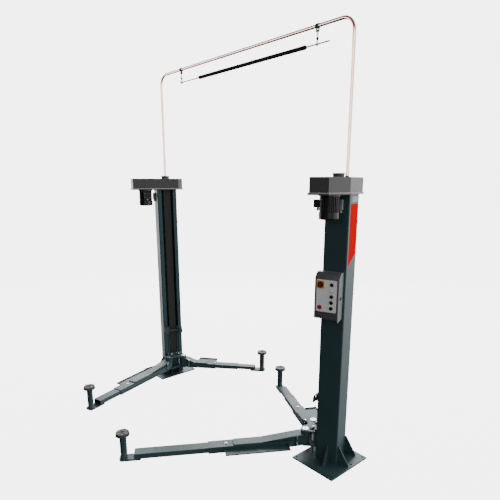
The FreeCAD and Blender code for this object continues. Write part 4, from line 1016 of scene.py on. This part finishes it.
# %% Panel screws and glands
# The switch plate covers the fourth corner of the panel.
CORNERS = [(-0.0645, 1.556), (-0.0645, 1.825), (0.1045, 1.556)]
BOX_GLANDS = [(u, 0.180, 1.459) for u in (-0.020, 0.050)]
held = [((u, PANEL_FACE, z), FRONT) for u, z in CORNERS]
drive("panel_screws", held, pan_head(0.0032, 0.0018), BOX_PLACE, "frame")
piece("box_glands", turned_parts(GLAND, BOX_GLANDS), BOX_PLACE, "frame", "key_black")
print("panel screws:", len(held))

# %% [markdown]
# ## Fittings of the stop bar
# The bar hangs from two green band clamps, so that a tall car touches its foam first. Each hanger carries
# a small black ball, and the foam is held by two ties at each end. The tube stands in a collar on each
# cap.

# %% Clamp bolts, balls, ties and collars
OVER_X, OVER_Y, OVER_Z = 1.470, 0.060, 3.928
CLAMP_AT = {"right": OVER_X - 0.383, "left": 0.465 - OVER_X}
ROD_Z, BALL_Z, BOLT_Z = OVER_Z - 0.140, OVER_Z - 0.098, OVER_Z - 0.0275
BOLT_STEP, TIE_IN, TIE_STEP = 0.015, 0.02, 0.004
SLEEVE_ENDS = (CLAMP_AT["left"] + 0.362, CLAMP_AT["right"] - 0.133)
BALL = [
    (0, -0.0125), (0.0075, -0.0105), (0.0118, -0.005), (0.0125, 0), (0.0118, 0.005), (0.0075, 0.0105),
    (0, 0.0125),
]
TIE = [(0.0172, -0.002), (0.0192, -0.002), (0.0192, 0.002), (0.0172, 0.002)]
COLLAR = [(0.0151, 0), (0.0190, 0), (0.0190, 0.006), (0.0165, 0.012), (0.0151, 0.012)]
IN_PLACE = Matrix()
bolts = []
for x in CLAMP_AT.values():
    bolts += [((x + sign * BOLT_STEP, OVER_Y, BOLT_Z), (sign, 0, 0)) for sign in HANDS]
drive("clamp_bolts", bolts, hex_head(0.008, 0.0045, 1.1), IN_PLACE, "frame")
balls = turned_parts(BALL, [(x, OVER_Y, BALL_Z) for x in CLAMP_AT.values()])
piece("hanger_balls", balls, IN_PLACE, "stop_bar", "key_black")
ties = []
for end in SLEEVE_ENDS:
    middle = end + math.copysign(TIE_IN, -end)
    for x in (middle - TIE_STEP, middle + TIE_STEP):
        ties.append(moved(ring(TIE, 28), stand((x, OVER_Y, ROD_Z), OUT)))
piece("sleeve_ties", join(ties), IN_PLACE, "stop_bar", "key_black")
collars = [moved(ring(COLLAR, 32), stand((x, OVER_Y, CAP_TOP))) for x in (OVER_X, -OVER_X)]
piece("tube_collars", join(collars), IN_PLACE, "frame", "key_black")
print("stop bar at", round(ROD_Z, 3), "m")

# %% [markdown]
# ## Camera
# The camera is fitted to the photograph: a 33 mm lens that looks down by 14 degrees, with a small upward
# shift that keeps the columns nearly upright.

# %% Camera
camera_data = bpy.data.cameras.new("camera")
camera_data.sensor_width = 36.0
camera_data.lens = 33.0
camera_data.shift_y = 0.0948
camera = bpy.data.objects.new("camera", camera_data)
camera.location = (3.9518, -3.2317, 2.6509)
camera.rotation_euler = (math.radians(90 - 14.2), 0, math.radians(48.6))
bpy.context.scene.collection.objects.link(camera)
bpy.context.scene.camera = camera
print("camera at", tuple(round(part, 3) for part in camera.location))

# %% [markdown]
# ## Light banks
# Satin paint shows its light as broad reflections. A wide bank behind the lift brightens the tops of the
# arms, and a weak one in front keeps the dark side of the columns from going black. Two more banks light
# nothing but the polished tube, by light linking, because a mirror needs something bright to show.

# %% Lights
TUBE_AIM = (0.0, OVER_Y, 3.9)


def light_bank(name, at, aim, width, height, radiance):
    """A large soft light that the camera doesn't see. Its power follows from its size and brightness."""
    data = bpy.data.lights.new(name, "AREA")
    data.shape = "RECTANGLE"
    data.size = width
    data.size_y = height
    data.energy = radiance * math.pi * width * height
    lamp = bpy.data.objects.new(name, data)
    lamp.location = at
    lamp.rotation_euler = (Vector(aim) - Vector(at)).to_track_quat("-Z", "Y").to_euler()
    lamp.visible_camera = False
    bpy.context.scene.collection.objects.link(lamp)
    return lamp


light_bank("arm_bank", (-4.5, 4.6, 4.1), (0.0, 0.0, 0.4), width=9.0, height=3.6, radiance=7.5)
light_bank("front_bank", (3.0, -6.5, 5.0), (0.3, 0.0, 1.2), width=8.0, height=4.0, radiance=0.65)
polished = bpy.data.collections.new("polished_pieces")
polished.objects.link(frame["nodes"]["overhead_tube"])
for name, at, radiance in (("post_bank", (2.2, -1.8, 3.4), 3.0), ("beam_bank", (-4.0, -3.2, 3.9), 4.5)):
    bank = light_bank(name, at, TUBE_AIM, width=6.0, height=3.0, radiance=radiance)
    bank.light_linking.receiver_collection = polished
print("banks:", len(bpy.data.lights))

# %% [markdown]
# ## World and floor
# The world is dim, a little brighter overhead, and glows towards the back, the left and, weakly, the
# front right. That gives the columns one pale side and one dark side. The glow fades below the horizon,
# where a real floor would block it. Camera rays see an even pale backdrop instead, and the floor has
# nearly its brightness, so the two run together.

# %% Studio world
WHITE = (1.0, 1.0, 1.0, 1.0)
BACKDROP_GLOW, FLOOR_GLOW = 5.2, 5.1
GLOWS = [
    {"towards": (0.5, 0.87, 0.0), "starts": 0.15, "full": 0.8, "strength": 1.9},
    {"towards": (-1.0, 0.05, 0.0), "starts": 0.86, "full": 0.97, "strength": 2.9},
    {"towards": (0.77, -0.64, 0.0), "starts": 0.9, "full": 0.98, "strength": 1.0},
]
world = bpy.data.worlds.new("studio")
bpy.context.scene.world = world
world.use_nodes = True
sky = world.node_tree
sky.nodes.clear()
way = add(sky, "ShaderNodeTexCoord", out="Generated")
height = add(sky, "ShaderNodeSeparateXYZ", (way,), "Z")
total = add(sky, "ShaderNodeMapRange", (height, 0.55, 0.95, 0.06, 0.3))
fade = add(sky, "ShaderNodeMapRange", (height, -0.62, 0.0, 0.08, 1.0))
for glow in GLOWS:
    share = add(sky, "ShaderNodeVectorMath", (way, glow["towards"]), "Value", operation="DOT_PRODUCT")
    lobe = add(sky, "ShaderNodeMapRange", (share, glow["starts"], glow["full"], 0.0, glow["strength"]))
    lobe = add(sky, "ShaderNodeMath", (lobe, fade), operation="MULTIPLY")
    total = add(sky, "ShaderNodeMath", (total, lobe), operation="ADD")
fill = add(sky, "ShaderNodeBackground", {"Color": WHITE, "Strength": total})
seen = add(sky, "ShaderNodeBackground", {"Color": WHITE, "Strength": BACKDROP_GLOW})
ray = add(sky, "ShaderNodeLightPath", out="Is Camera Ray")
add(sky, "ShaderNodeOutputWorld", {"Surface": add(sky, "ShaderNodeMixShader", (ray, fill, seen))})
print("glows:", len(GLOWS))

# %% Floor
FLOOR_REACH, FLOOR_FOOT, FLOOR_TOP = 40, -0.02, -0.0005
floor_outline = rectangle((-FLOOR_REACH, -FLOOR_REACH), (FLOOR_REACH, FLOOR_REACH))
floor_mesh = as_mesh(slab(floor_outline, FLOOR_FOOT, FLOOR_TOP))
floor = bpy.data.objects.new("floor", floor_mesh)
bpy.context.scene.collection.objects.link(floor)
floor_finish, tree, place = new_material("pale_studio_floor")
grain = add(tree, "ShaderNodeTexNoise", {"Vector": place})
tones = {0: grain, 6: colour("#8f8f8f"), 7: colour("#929292")}
tone = add(tree, "ShaderNodeMix", tones, 2, data_type="RGBA")
matt = add(tree, "ShaderNodeBsdfDiffuse", {"Color": tone})
lit = add(tree, "ShaderNodeEmission", {"Color": WHITE, "Strength": FLOOR_GLOW})
add(tree, "ShaderNodeOutputMaterial", {"Surface": add(tree, "ShaderNodeAddShader", (matt, lit))})
floor_mesh.materials.append(floor_finish)
floor.visible_diffuse = False
floor.visible_glossy = False
floor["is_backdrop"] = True
print("floor:", 2 * FLOOR_REACH, "m wide")

# %% The sizes of the frame and of all that is seen
seen_low, seen_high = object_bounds()
sizes = {
    "cad": [list(cad_low), list(cad_high)],
    "visual": [list(seen_low), list(seen_high)],
}
print("grown by", [round(b - a, 4) for a, b in zip([*seen_low, *cad_high], [*cad_low, *seen_high])])
